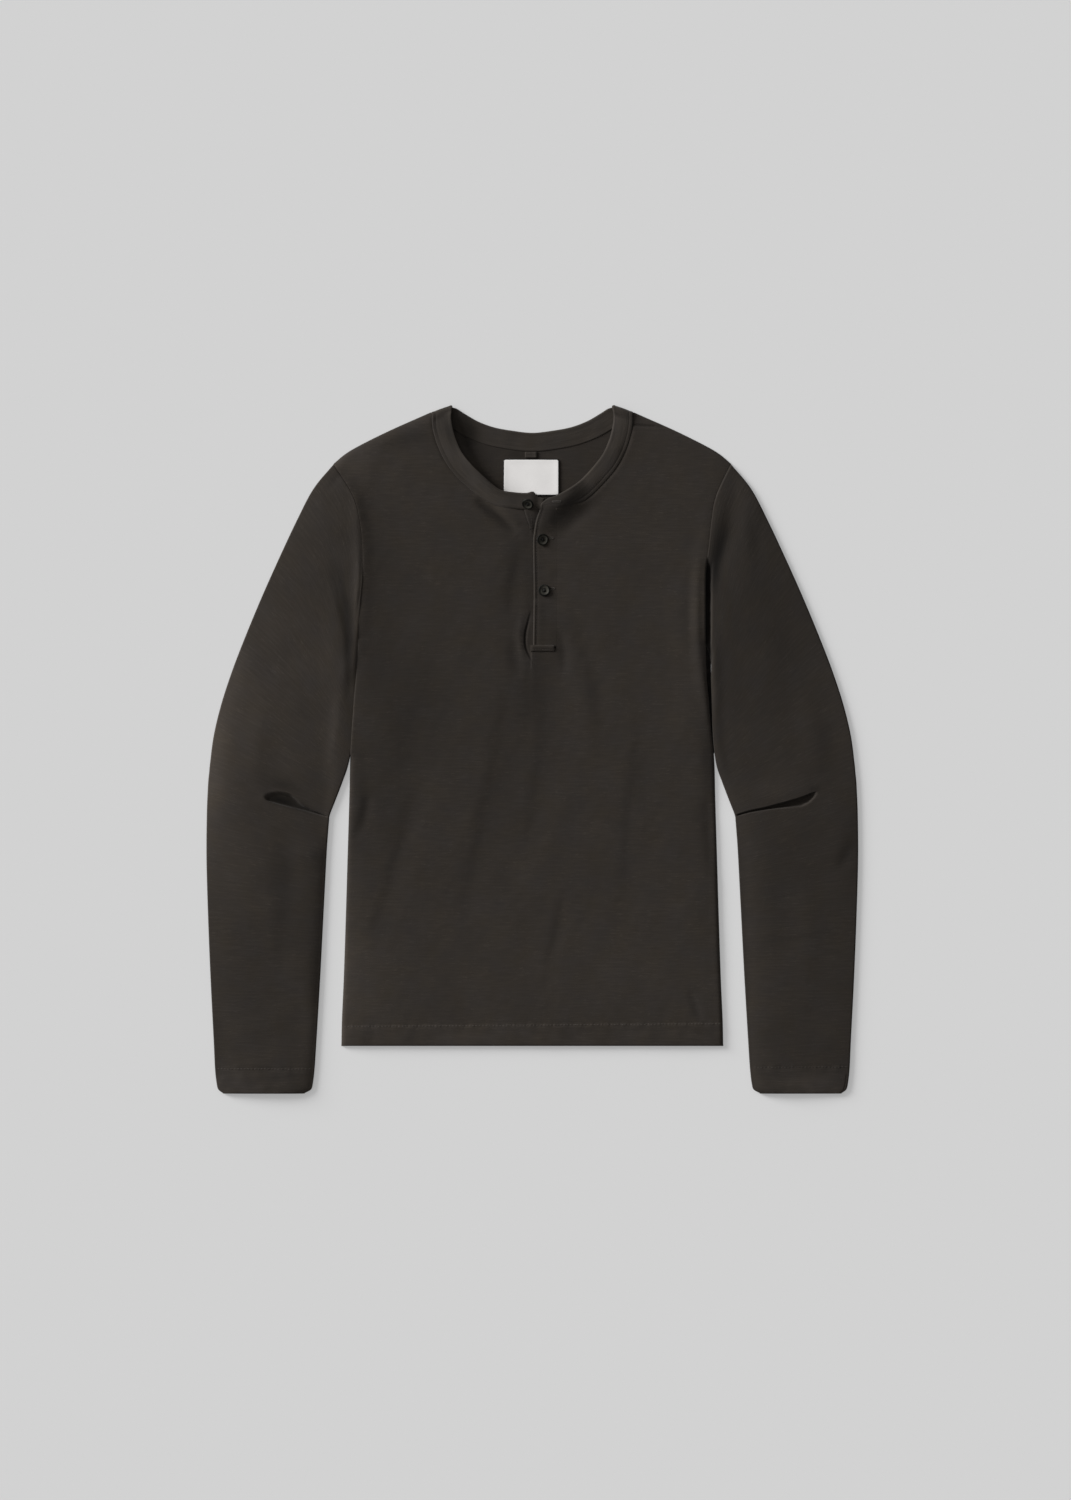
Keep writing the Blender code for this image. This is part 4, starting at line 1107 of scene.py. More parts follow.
# On the sleeves: painted light along the left sleeve's outer side, painted shade and painted light
# in and around the elbow tucks and beside the armholes, with some uneven dyeing.
SLEEVE_DYE_AND_SHADE = {
    "left": table(Fold, [
        (19.0, 0.30, [(-258, 122), (-286, 60), (-302, 0), (-308, -50), (-308, -120)]),
        (12.0, 0.30, [(-270, 112), (-296, 36), (-309, -40), (-310, -110)]),
        (20.0, 0.10, [(-204, 244), (-222, 200), (-240, 150), (-262, 70)]),
        (20.0, -0.18, [(-212, 224), (-236, 172), (-254, 128)]),
        (15.0, -0.20, [(-258, 126), (-266, 95), (-268, 60)]),
        (16.0, 0.17, [(-240, 60), (-256, 20), (-276, -16)]),
        (18.0, 0.18, [(-300, 34), (-300, -20), (-296, -74)]),
        (11.0, 0.18, [(-190, 152), (-194, 100), (-194, 50), (-194, 0)]),
        (10.0, -0.10, [(-310, -110), (-308, -200), (-302, -310)]),
        (36.0, -0.13, [(-272, -140), (-270, -220), (-268, -320)]),
        (8.0, -0.2, [(-303, -244), (-300, -290), (-298, -320)]),
        (8.0, -0.12, [(-202, -160), (-206, -210), (-208, -250)]),
        (8.0, -0.14, [(-237, -82), (-235, -130), (-237, -184)]),
        (9.0, 0.40, [(-214, -236), (-212, -300), (-210, -380)]),
        (60.0, 0.16, [(-240, 130), (-238, 50), (-240, -10), (-244, -76)]),
        (18.0, 0.12, [(-284, -60), (-282, -110), (-284, -170)]),
        (10.0, -0.12, [(-246, -60), (-234, -100), (-234, -150), (-236, -210)]),
        (5.5, 0.60, [(-176, 92), (-180, 60), (-183, 30), (-187, -5), (-192, -45), (-198, -90)]),
        (6.0, 0.14, [(-250, -110), (-250, -160), (-250, -220)]),
        (4.6, -0.55,
         [(-187, 178), (-181, 152), (-176.5, 132), (-174, 112), (-173, 92), (-175, 66)]),
        (3.2, 0.70,
         [(-166, 190), (-166, 160), (-166.5, 130), (-166.5, 100), (-167, 76), (-169, 50)]),
        (12.0, 0.15, [(-304, -316), (-282, -318), (-260, -318)]),
        (3.0, -0.55, [(-258, -45), (-247, -48), (-236, -51.0), (-222, -56.0), (-204, -60.5)]),
        (3.6, -0.50, [(-254, -44), (-242, -46), (-231, -48), (-221, -52), (-210, -58)]),
        (3.0, 0.45, [(-262, -45), (-252, -44.5), (-244, -41.5), (-236, -41)]),
        (5.0, -0.22, [(-250, -34), (-238, -34), (-226, -37), (-214, -46)]),
        (9.0, -0.14, [(-262, -28), (-246, -32), (-226, -36)]),
    ]),
    "right": table(Fold, [
        (34.0, -0.19, [(214, 224), (226, 120), (244, 20)]),
        (12.0, -0.10, [(198, 252), (190, 224), (180, 197), (171, 172), (168, 155)]),
        (6.0, -0.44, [(175, 110), (176, 60), (177, 10), (188, -40)]),
        (5.0, -0.55, [(187, 220), (180, 196), (175, 176), (173.5, 160), (172, 146)]),
        (5.0, -0.20, [(223, 256), (217, 226), (213, 190), (211, 164)]),
        (7.0, 0.26, [(200, 264), (195, 246), (190, 230), (188, 212)]),
        (9.0, 0.14, [(204, 238), (203, 200), (196, 168), (190, 144)]),
        (15.0, 0.20, [(205, -40), (235, -38), (265, -30)]),
        (16.0, 0.18, [(280, 90), (292, 30), (300, -40)]),
        (6.0, -0.30, [(194, -46), (199, -150), (205, -350)]),
        (26.0, -0.09, [(240, -75), (246, -110), (250, -155)]),
        (18.0, 0.08, [(206, -60), (212, -160), (216, -300)]),
        (12.0, 0.40, [(230, -318), (268, -317), (304, -318)]),
        (8.0, -0.12, [(308, -50), (306, -95), (304, -136)]),
        (5.0, -0.14, [(306, -84), (300, -98), (292, -114)]),
        (3.0, -0.3, [(262, -38.5), (268, -37.5), (274, -38)]),
    ]),
}
# The most that painted shade and uneven dyeing may darken the cloth's colour.
DARKEST_DYE_AND_SHADE = -0.85


def front_dye_and_shade(points):
    # Painted shade and light from the table and in the creases' troughs, a paler mottled band along
    # the hem, and painted shade in the open fold beside the right armhole.
    dye_and_shade = fold_relief(points, FRONT_DYE_AND_SHADE) + 0.07 * np.minimum(fold_relief(points, FRONT_FOLDS), 0)
    uneven = ripples(points, 91, 34.0, 0.08, 0.0, 1.6) + ripples(points, 93, 15.0, 0.05, 0.0, 1.6)
    dye_and_shade += (0.08 + uneven) * hill(points[:, 1] - HEM_Y - 8.0, 9.0)
    distance = gap_to(points, armhole("right"))
    dye_and_shade -= 0.3 * fold_opens(points[:, 1]) * soft_step((1.6 - distance) / 1.2)
    return np.clip(dye_and_shade, DARKEST_DYE_AND_SHADE, 1.0)


def wear_along(points, lines):
    """Where garment dyeing and washing have paled the cloth: sewn lines and folded edges."""
    worn = np.zeros(len(points))
    for curve, width, amount in lines:
        worn = np.maximum(worn, amount * hill(gap_to(points, curve), width))
    return worn


def front_wear(points):
    lines = [(HEM_STITCH, 1.0, 0.3), (HEM_LINE, 1.6, 0.5)]
    lines += [(side_curve(side), 2.0, 0.25) for side in SIDES]
    lines += [(armhole(side), 1.6, 0.1) for side in SIDES]
    return wear_along(points, lines)


RIMS = [0.12, 0.4, 0.9, 1.6, 2.5, 3.6]
FRONT_TURN = 3.0  # the front's cut is this much wider, to go round its soft side edges
outline = front_outline(1.7)
dense_boxes = [
    ((-14.0, 78.0), (4.0, 138.0), 0.8),
    ((4.0, 78.0), (30.0, 120.0), 1.3),
    ((-52.0, 196.0), (60.0, 240.0), 1.4),
    ((-181.0, -267.0), (181.0, -255.5), 1.25),
    ((88.0, 303.0), (131.0, 311.0), 0.9),
]
front = panel(
    "front_panel", outline, front_face, front_underside, (2.3, 9.0), RIMS, dense_boxes,
    jersey_material, front_wear, front_dye_and_shade,
)
front_area = outline_area(outline)
front_width, front_length = np.ptp(outline, axis=0) + np.array([FRONT_TURN, 0])


def back_face(points):
    level = np.full(len(points), WALL)
    level += ripples(points, 31, 40.0, 0.05, 0.3) + ripples(points, 32, 14.0, 0.02, 0.3)
    level = np.minimum(level, WALL + 0.12)
    return level - (WALL - 0.45) * out_beside(points)


def out_beside(points):
    """1 where the back fills the gap beside the right sleeve."""
    x, y = points.T
    return beside_sleeve(y) * soft_step((x - body_half_width("right", y) + 3.0) / 1.5)


def back_painted_shade(points):
    # Where the back fills the gap beside the right sleeve it is drawn darkest: painted shade in the
    # open fold.
    return np.clip(DARKEST_DYE_AND_SHADE * out_beside(points) + fold_relief(points, BACK_PAINTED_SHADE), DARKEST_DYE_AND_SHADE, 1.0)


def none(points):
    return np.zeros(len(points))


outline = back_outline(3.0, 2.4)
back = panel(
    "back_panel", outline, back_face, none, (6.0, 30.0), [0.3, 1.0, 2.5],
    [((-80.0, 236.0), (80.0, 300.0), 2.0)], shaded_inside_material, none, back_painted_shade,
)
declare_sheet(back, "back", *np.ptp(outline, axis=0), outline_area(outline), ["floor"])


# Sleeves.

ACROSS = 62
EDGE_TURN = np.radians([0, 18, 36, 54, 72, 90])
SLEEVE_FLOOR = 0.55  # thickness of the lower layer
HOLLOW = 1.0
CUFF_HOLLOW = 2.2
RING_STEP = 2.3
ELBOW_SPANS = range(8, 13)  # the spans between sections where the rings are closer together
ELBOW_STEP = 0.26 * RING_STEP
ARMHOLE_RINGS = 12  # the rings that go down to the armhole seam
SLEEVE_SEED = {"left": 41, "right": 51}
TUCK_LIP = {"left": 0.15, "right": 0.0}
CUFF_STITCH_Y = {"left": -303.6, "right": -302.0}
# The left cuff's stitch line is paled more than the right's: wear, and painted light on the lit
# side.
CUFF_STITCH_WEAR_AND_LIGHT = {"left": 0.3, "right": 0.05}


def pocket_at(points, side):
    """The upper and lower edge of the elbow's tuck, and its depth, at each point's x."""
    x, upper, lower, depth = np.array(sorted(POCKETS[side])).T
    edges = [np.interp(points[:, 0], x, edge) for edge in (upper, lower)]
    return *edges, np.interp(points[:, 0], x, depth, left=0, right=0)


def pocket_hole(points, side, spread):
    """How deep the elbow's tuck is at each point, its edges moved out by spread."""
    upper, lower, depth = pocket_at(points, side)
    y = points[:, 1]
    gentle = np.clip(0.6 * (upper - lower), 0.9, 5.0) if side == "left" else 0.9
    return depth * soft_step((upper - y + spread) / gentle) * soft_step((y - lower + spread) / 0.9)


def pocket_shape(points, side):
    """The tuck's hole and its soft lip, as a change of height."""
    upper, lower, depth = pocket_at(points, side)
    y = points[:, 1]
    strength = depth / 5.1
    slope = 0.3 * strength * np.exp(-((np.maximum(y - upper, 0) / 8.0) ** 1.2)) * (y > upper)
    below = np.maximum(lower - y, 0)
    lip = TUCK_LIP[side] * strength * soft_step(below / 1.6) * hill(below, 8.0)
    return lip - pocket_hole(points, side, 0.2) - slope


def sleeve_stations(side):
    """The two ends and the top level of each ring, from the table of sections."""
    rows = []
    for row in SLEEVE:
        inner_x = row.inner_x
        if inner_x is None:
            inner_x = body_half_width(side, row.inner_y) + beside_gap(side, row.inner_y)
        rows.append(
            (SIGN[side] * row.outer_x, row.outer_y, SIGN[side] * inner_x, row.inner_y, row.top)
        )
    seam = even_points(armhole(side), 60) + np.array([SIGN[side] * -0.5, 0])
    rows[0] = (*seam[0], *seam[-1], rows[0][4])
    steps = []
    for k in range(len(rows) - 1):
        a, b = np.array(rows[k]), np.array(rows[k + 1])
        span = max(np.linalg.norm(b[:2] - a[:2]), np.linalg.norm(b[2:4] - a[2:4]))
        steps.append(max(1, math.ceil(span / (ELBOW_STEP if k in ELBOW_SPANS else RING_STEP))))
    return spline(rows, steps), seam, steps


def cuff_line(side):
    return np.array([(SIGN[side] * x, CUFF_STITCH_Y[side]) for x in (204.0, 304.0)])


def sleeve_height(points, inset, width, top, side):
    """The sleeve's upper face, inset being the distance from its outer folded edge."""
    outer = np.maximum(inset - FOLD_EDGE / 2, 0)
    inner = np.maximum(width - inset - FOLD_EDGE / 2, 0)
    low_down = soft_step((84.0 - points[:, 1]) / 60.0)
    slope = INNER_SLOPE[side] + (LOW_INNER_SLOPE[side] - INNER_SLOPE[side]) * low_down
    slope += (FOREARM_INNER_SLOPE[side] - slope) * soft_step((-62.0 - points[:, 1]) / 40.0)
    rise = (1 - np.exp(-outer / OUTER_SLOPE[side])) * (1 - np.exp(-inner / slope))
    height = FOLD_EDGE + (top + SLEEVE_RISE[side] - FOLD_EDGE) * rise
    height += fold_relief(points, SLEEVE_FOLDS[side]) * np.minimum(1, 3 * rise)
    seed = SLEEVE_SEED[side]
    uneven = ripples(points, seed, 46.0, 0.13, 0.9) + ripples(points, seed + 1, 15.0, 0.035, 0.6)
    height += uneven * rise
    height += puckers(points, cuff_line(side), 0.35, 1.6, 8.0, seed + 2)
    height = np.maximum(height, 2.9)
    height += pocket_shape(points, side) * np.minimum(1, 3.5 * rise + 0.3)
    return np.maximum(height, 1.2)


def sleeve_ring(station, seam, bow, side, hollow=None):
    """One ring: along the face from the outer edge to the inner one, and back underneath.

    With the height of the hollow given, it is a ring of the sleeve's inner wall.
    """
    inner_wall = hollow is not None
    outer, inner = station[0:2], station[2:4]
    width = np.linalg.norm(inner - outer)
    radius = FOLD_EDGE / 2
    reach = radius - 0.9 if inner_wall else radius
    arc = radius - reach * np.cos(EDGE_TURN)
    lift = reach * np.sin(EDGE_TURN)
    middle = np.linspace(arc[-1], width - arc[-1], ACROSS)[1:-1]
    inset = np.concatenate([arc, middle, width - arc[::-1]])
    shares = inset / width
    straight = outer + shares[:, None] * (inner - outer)
    on_seam = places_on(seam, np.linspace(0, 1, len(seam)), shares)
    chord = seam[0] + shares[:, None] * (seam[-1] - seam[0])
    points = straight + bow * (on_seam - chord)
    turns = len(EDGE_TURN)
    if inner_wall:
        low = min(radius - reach, SLEEVE_FLOOR)
        roof = SLEEVE_FLOOR + hollow + (0.5 if hollow > HOLLOW else 0.4)
        middles = points[turns:-turns]
        sunk = pocket_hole(middles, side, 3.0) > 0
        if side == "right":
            gap, _, low_end = slot_place(middles)
            sunk |= (gap < SLOT + 4) & (middles[:, 1] < 192) & (low_end > 0)
        face = np.where(sunk, SLEEVE_FLOOR + 0.25, roof)
        floor = np.full(len(middle), SLEEVE_FLOOR)
        lift = lift * 0.6
    else:
        face = sleeve_height(points[turns:-turns], middle, width, station[4], side)
        floor = np.zeros(len(middle))
    top = np.concatenate([radius + lift, face, radius + lift[::-1]])
    down = lift * (radius - low) / lift[-1] if inner_wall else lift
    bottom = np.concatenate([radius - down[1:], floor, radius - down[:0:-1]])
    upper = np.column_stack([points, top])
    lower = np.column_stack([points[1:-1], bottom])
    return np.vstack([upper, lower[::-1]])


LEFT_SEAM_Z = 6.3
SLOT = 4.4  # width of the open fold between the right sleeve and the body


def slot_place(points):
    """Distance from the body's edge, and how open the fold is, towards its top and its low end."""
    low = side_curve("right")
    line = np.vstack([armhole("right"), low[low[:, 1] > 78][::-1]])
    gap = gap_to(points, line)
    return gap, fold_opens(points[:, 1]), soft_step((points[:, 1] - 80) / 8)


def sleeve_dye_and_shade(points, side):
    y = points[:, 1]
    # Painted shade and light from the table and in the creases' troughs, uneven dyeing at the cuff,
    # and painted shade in the elbow tuck and, on the right, in the open fold beside the body.
    dye_and_shade = fold_relief(points, SLEEVE_DYE_AND_SHADE[side])
    dye_and_shade += 0.07 * np.minimum(fold_relief(points, SLEEVE_FOLDS[side]), 0)
    dye_and_shade += ripples(points, 92, 20.0, 0.08, 0.0, 1.6) * soft_step((CUFF_Y + CUFF_DEPTH + 8 - y) / 8)
    dye_and_shade -= 0.03 * pocket_hole(points, side, 1.1)
    if side == "right":
        gap, opened, low_end = slot_place(points)
        dye_and_shade -= 0.8 * opened * low_end * soft_step((SLOT + 1.0 - gap) / 1.4)
    return np.clip(dye_and_shade, DARKEST_DYE_AND_SHADE, 1.0)


def sleeve(side):
    stations, seam, steps = sleeve_stations(side)
    bowed = sum(steps[:STRAIGHT_FROM])
    bows = np.clip(1 - np.arange(len(stations)) / bowed, 0, 1) ** 1.5
    outer = [sleeve_ring(station, seam, bow, side) for station, bow in zip(stations, bows)]
    count = len(outer[0])
    top_count = ACROSS - 2 + 2 * len(EDGE_TURN)

    # the cloth goes down to the armhole seam, on the right into an open fold lower down
    for ring in outer[:ARMHOLE_RINGS]:
        flat, level = ring[:top_count, :2], ring[:top_count, 2]
        if side == "left":
            gap = gap_to(flat, seam)
            lowered = np.minimum(level, LEFT_SEAM_Z + (level - LEFT_SEAM_Z) * soft_step(gap / 4))
        else:
            gap, opened, low_end = slot_place(flat)
            pit, reach = SLOT * opened, 12.0 - 10.2 * opened
            seam_z = np.minimum(3.7 - 2.8 * opened, level)
            lowered = np.where(
                gap < pit + reach, wrap(level, np.maximum(gap - pit, 0), seam_z, reach), level
            )
            lowered = level + (lowered - level) * low_end
            below = ring[top_count:]
            gap, opened, low_end = slot_place(below[:, :2])
            sunk = (gap < SLOT * opened) & (low_end > 0.5)
            below[sunk, 2] = np.minimum(below[sunk, 2], 0.5)
        ring[:top_count, 2] = lowered

    kept = sorted(set(range(0, len(stations), 2)) | {len(stations) - 1})
    inner = []
    for k in kept:
        deep = soft_step((CUFF_Y + CUFF_DEPTH + 6 - stations[k][1]) / 12)
        hollow = HOLLOW + (CUFF_HOLLOW - HOLLOW) * deep
        inner.append(sleeve_ring(stations[k], seam, bows[k], side, hollow))
    lip = 0.5 * (outer[-1] + inner[-1]) + np.array([0, -0.55, 0])
    rings = outer + [lip] + inner[::-1]
    verts = np.vstack(rings)
    faces = ring_faces(len(rings), count, joined=True)

    # the knit's columns run along the sleeve, its rows across
    middles = (stations[:, 0:2] + stations[:, 2:4]) / 2
    along = lengths(middles)
    widths = np.linalg.norm(stations[:, 2:4] - stations[:, 0:2], axis=1)
    over, under = np.linspace(-0.5, 0.5, top_count), np.linspace(0.5, -0.5, count - top_count + 2)
    share = np.concatenate([over, under[1:-1]])
    uv = np.vstack([
        np.column_stack([share * widths[k], np.full(count, -along[k])])
        for k in [*range(len(stations)), len(stations) - 1, *kept[::-1]]
    ])
    flat = verts[:, :2]
    end = np.array([(SIGN[side] * x, CUFF_Y) for x in (205.0, 304.0)])
    lines = [
        (cuff_line(side), 1.2, CUFF_STITCH_WEAR_AND_LIGHT[side]), (end, 1.6, 0.4), (armhole(side), 1.8, 0.1)
    ]
    obj = add_object(
        f"sleeve_shell_{side}", verts, faces, "jersey", sleeve_lit_and_shaded_materials[side], uv,
        wear_along(flat, lines), sleeve_dye_and_shade(flat, side),
    )
    plan = np.vstack([stations[:, 0:2], stations[::-1, 2:4], seam[::-1]])
    return obj, 2 * widths.max(), lengths(stations[:, 0:2])[-1], 2 * outline_area(plan)


sleeves = {side: sleeve(side) for side in SIDES}


# Neckband.

BAND_WIDTH = 18.2
BAND_ACROSS = [
    0.0, 0.25, 0.7, 1.3, 2.0, 2.7, 3.1, 3.5, 3.9, 4.5, 5.6, 7.2, 9.2, 11.2, 13.2, 14.8, 16.0,
    16.8, 17.4, 17.8, 18.05,
]


def set_free_edge(row):
    """The left half's free edge bulges a little further over the neck opening than its solid's."""
    out = 2.6 * math.exp(-(((row.seam_x + 62) / 20.0) ** 2)) + 0.8 * (-20 < row.seam_x < 3)
    run = np.array([row.free_x - row.seam_x, row.free_y - row.seam_y])
    run *= out / np.linalg.norm(run)
    return row._replace(free_x=row.free_x + run[0], free_y=row.free_y + run[1])


def band_rows():
    over_right, over_left = band_fold(1), band_fold(-1)
    back_left = [mirrored(row) for row in BAND_BACK[-2::-1]]
    front_left = [set_free_edge(row) for row in BAND_LEFT]
    return BAND_RIGHT + over_right + BAND_BACK + back_left + over_left[::-1] + front_left


def band_lift(x, front):
    """How much higher the free edge stands than its solid's, and how the band bulges between."""
    left = np.where((x < 0) & front, 4.2 * hill(x + 64, 25.0), 0.0)
    right = np.where((x > 0) & front, soft_step((x - 36) / 20), 0.0)
    return left - 3.3 * right, 0.25 * right - 0.5 * left


def band_offset(across, shown, reach):
    """Half the band's thickness: the seam's cord, its groove, the padded fold and rolled edge."""
    from_free = BAND_WIDTH - across
    cord = 0.05 * hill(across - 1.9, 1.2)
    groove = 0.18 * hill(across - CORD_WIDTH - 0.4, 0.42)
    puff = 0.2 * np.sin(np.pi * np.clip((across - 4.0) / 13.4, 0, 1))
    bead = 0.25 * hill(from_free - 1.7, 1.0)
    thickness = BAND_WALL / 2 + (cord - groove) * shown + puff + bead
    return thickness * rounded(across / reach) * rounded(from_free / 1.5)


def neckband():
    rows = np.array(band_rows())
    curve = spline(rows, 14)
    middle = (curve[:, 0:3] + curve[:, 3:6]) / 2
    along = lengths(middle)
    total = along[-1]
    wanted = crowded(0.0, total, [0.0, 0.06, 0.2, 0.5, 0.9, 1.4, 2.1], 3.0, 2.5, 1.9)
    curve = places_on(curve, along, wanted)
    seam, free = curve[:, 0:3], curve[:, 3:6]
    middle = (seam + free) / 2
    tangent = np.gradient(middle, axis=0)
    width = free - seam
    normal = unit(np.cross(tangent, width))
    in_front = (middle[:, 1] < 316) & (seam[:, 2] > 2.0)
    lift, bulge = band_lift(middle[:, 0], in_front)
    from_end = np.minimum(wanted, total - wanted)
    blunt = np.sqrt(1 - (1 - np.clip(from_end / 2.0, 0.01, 1)) ** 2)
    blunt += 0.2 * hill(wanted - 1.8, 1.0)
    across = np.array(BAND_ACROSS)
    around = np.concatenate([across, across[-2:0:-1]])
    at_back = (seam[:, 2] < 2) & (seam[:, 1] < 314)
    shown = np.where(at_back, 0.0, band_seam_shows(seam[:, 0]))
    reach = np.where(at_back, 0.8, 4.6 - 3.8 * shown)
    wavy = ripples(np.column_stack([wanted, np.zeros(len(wanted))]), 61, 26.0, 0.14)
    verts, uv = [], []
    for k in range(len(curve)):
        span = np.linalg.norm(width[k])
        kept = min(1, span / 9.5)
        spots = 0, 4.5 * kept, span - 4 * kept, span
        shares = np.interp(across, (0, 4.5, 14.2, BAND_WIDTH), spots) / span
        line = seam[k] + shares[:, None] * width[k]
        line[:, 2] += lift[k] * shares**1.6 + bulge[k] * 4 * shares * (1 - shares)
        upper = band_offset(across, shown[k], reach[k])
        thick = (upper * blunt[k] * (1 + wavy[k] * np.sin(np.pi * shares)))[:, None]
        face, under = line + thick * normal[k], line - thick * normal[k]
        verts.append(np.vstack([face, under[-2:0:-1]]))
        uv.append(np.column_stack([np.full(len(around), wanted[k]), around]))
    verts = np.vstack(verts)
    follows = (verts[:, 0] > 6.3) & (verts[:, 1] < 275)  # the front's creases
    verts[follows, 2] += fold_relief(verts[follows, :2], [STANDING, *FRONT_FOLDS])
    verts[:, 2] = np.maximum(verts[:, 2], 0.0)
    worn = np.tile(0.55 * hill(around - BAND_WIDTH, 1.0), len(curve))
    # The band's back part takes the painted shadow of the raised left band; its raised front part
    # takes the front's painted shade and light.
    low = np.clip(fold_relief(verts[:, :2], BACK_PAINTED_SHADE[:1]), DARKEST_DYE_AND_SHADE, 0)
    dye_and_shade = np.where(verts[:, 2] > 2.8, front_dye_and_shade(verts[:, :2]), low)
    band = add_object(
        "neckband_shell", verts, ring_faces(len(curve), len(around)), "neckband", trim_material,
        np.vstack(uv), worn, dye_and_shade,
    )
    declare_sheet(band, "neckband", BAND_WIDTH, total, None, ["front_panel", "back_panel"])
    return band


# Placket.

OVERLAP_ROLL = 0.5  # height of the rolled, topstitched left edge


def overlap_height(points):
    """The overlap is flush with the front at its seam and rolled along its other edge."""
    inset = points[:, 0] - overlap_edge_x(points[:, 1])
    clear = soft_step(inset / 3) * soft_step((PLACKET_SEAM_X - points[:, 0]) / 6)
    level = front_level(points) + 0.25 * clear
    level += 0.03 - 0.4 * soft_step((points[:, 0] - PLACKET_SEAM_X - 0.8) / 2.2)
    level += 0.6 * soft_step((points[:, 1] - 222.0) / 9.0)
    level += OVERLAP_ROLL * hill(inset - 1.2, 1.0)
    level -= 0.25 * hill(inset - 3.3, 0.8)
    level -= 0.7 * hill(points[:, 1] - 141.5, 2.2) * hill(inset, 2.0)  # a small notch
    return wrap(level, inset, 3.1, 1.0)


def strip_shell(name, lefts, rights, percents, height, low, slot, material, edge_wear=0.0):
    """A closed strip between two edges, its face at a height worked out for each point."""
    shares = np.array(percents) / 100
    around = np.concatenate([shares, shares[-2:0:-1]])[:, None]
    flat = np.vstack([left + around * (right - left) for left, right in zip(lefts, rights)])
    is_top = np.tile(np.arange(len(around)) < len(shares), len(lefts))
    z = np.full(len(flat), low)
    z[is_top] = np.maximum(height(flat[is_top]), low + 0.05)
    faces = ring_faces(len(lefts), len(around))
    worn = edge_wear * hill(np.tile(around[:, 0], len(lefts)), 0.06)
    verts = np.column_stack([flat, z])
    # The strip takes the front's painted shade and light.
    return add_object(name, verts, faces, slot, material, flat, worn, front_dye_and_shade(flat))


def strip_rows(edge, bottom, top, step):
    curve = spline(edge, 6)[::-1]
    rows = crowded(bottom, top, [0, 0.15, 0.4], 1.2, 1.0, step)
    return np.column_stack([np.interp(rows, curve[:, 1], curve[:, 0]), rows])


def placket():
    left = strip_rows(ONTO_BAND, PLACKET_BOTTOM + 0.3, 231.2, 1.3)
    right = np.column_stack([np.full(len(left), PLACKET_SEAM_X + 3.0), left[:, 1]])
    percents = [0, 1, 2.5, 4.5, 7, 10, 13.5, 17, 22, 30, 40, 52, 64, 76, 86, 91, 95, 100]
    overlap = strip_shell(
        "overlap_strip", left, right, percents, overlap_height, OVERLAP_Z - 0.05, "placket",
        jersey_material, 0.2,
    )
    under_band = [Point(-9.2, PLACKET_TOP + 3.0), *UNDERLAP_SEAM]
    left = strip_rows(under_band, PLACKET_BOTTOM + 0.3, PLACKET_TOP + 2.2, 2.0)
    left += np.array([0.3, 0])
    right = left + np.array([UNDERLAP_WIDTH, 0])
    percents = [0, 2, 5, 10, 16, 24, 34, 46, 60, 80, 97, 100]

    def underlap_height(points):
        x, y = points[:, 0], points[:, 1]
        clear = soft_step((overlap_edge_x(y) - 0.6 - x) / 2.0) * soft_step((y - 205) / 6)
        seam = np.interp(y, [p.y for p in UNDERLAP_SEAM[::-1]], [p.x for p in UNDERLAP_SEAM[::-1]])
        groove = 0.5 * hill(x - seam - 0.3, 0.6)
        rise = 0.35 * soft_step((y - 221.0) / 5.0)
        return UNDERLAP_Z + WALL + (0.75 + rise - groove) * clear

    underlap = strip_shell(
        "underlap_strip", left, right, percents, underlap_height, UNDERLAP_Z, "placket",
        jersey_material,
    )
    return overlap, underlap


def tack():
    """The folded lower end, sewn across as a padded bar."""
    x0, x1, y0, y1, low = TACK
    columns = crowded(x0, x1, [0, 0.12, 0.4, 0.9], 1.9, 1.5, 1.2)
    lows, highs = (np.column_stack([columns, np.full(len(columns), y)]) for y in (y0, y1))
    percents = [0, 2, 6, 13, 22, 33, 44, 52, 60, 70, 80, 88, 94, 98, 100]

    def bar_height(points):
        x, y = points[:, 0], points[:, 1]
        end = np.minimum(x - x0, x1 - x)
        side = np.minimum(y - y0, y1 - y)
        level = front_level(points) + 1.0
        level += 0.25 * hill(y - y0 - 3.9, 1.2) - 0.3 * hill(y - y0 - 2.1, 0.5)
        level += 0.1 * np.sin(x * 1.9) * hill(y - y0 - 2.1, 1.0)
        level = wrap(level, end, 4.6, 1.0)
        return wrap(level, side, 4.6, 1.1)

    return strip_shell(
        "tack_bar", lows, highs, percents, bar_height, low, "placket", jersey_material
    )


# Label and its tab.


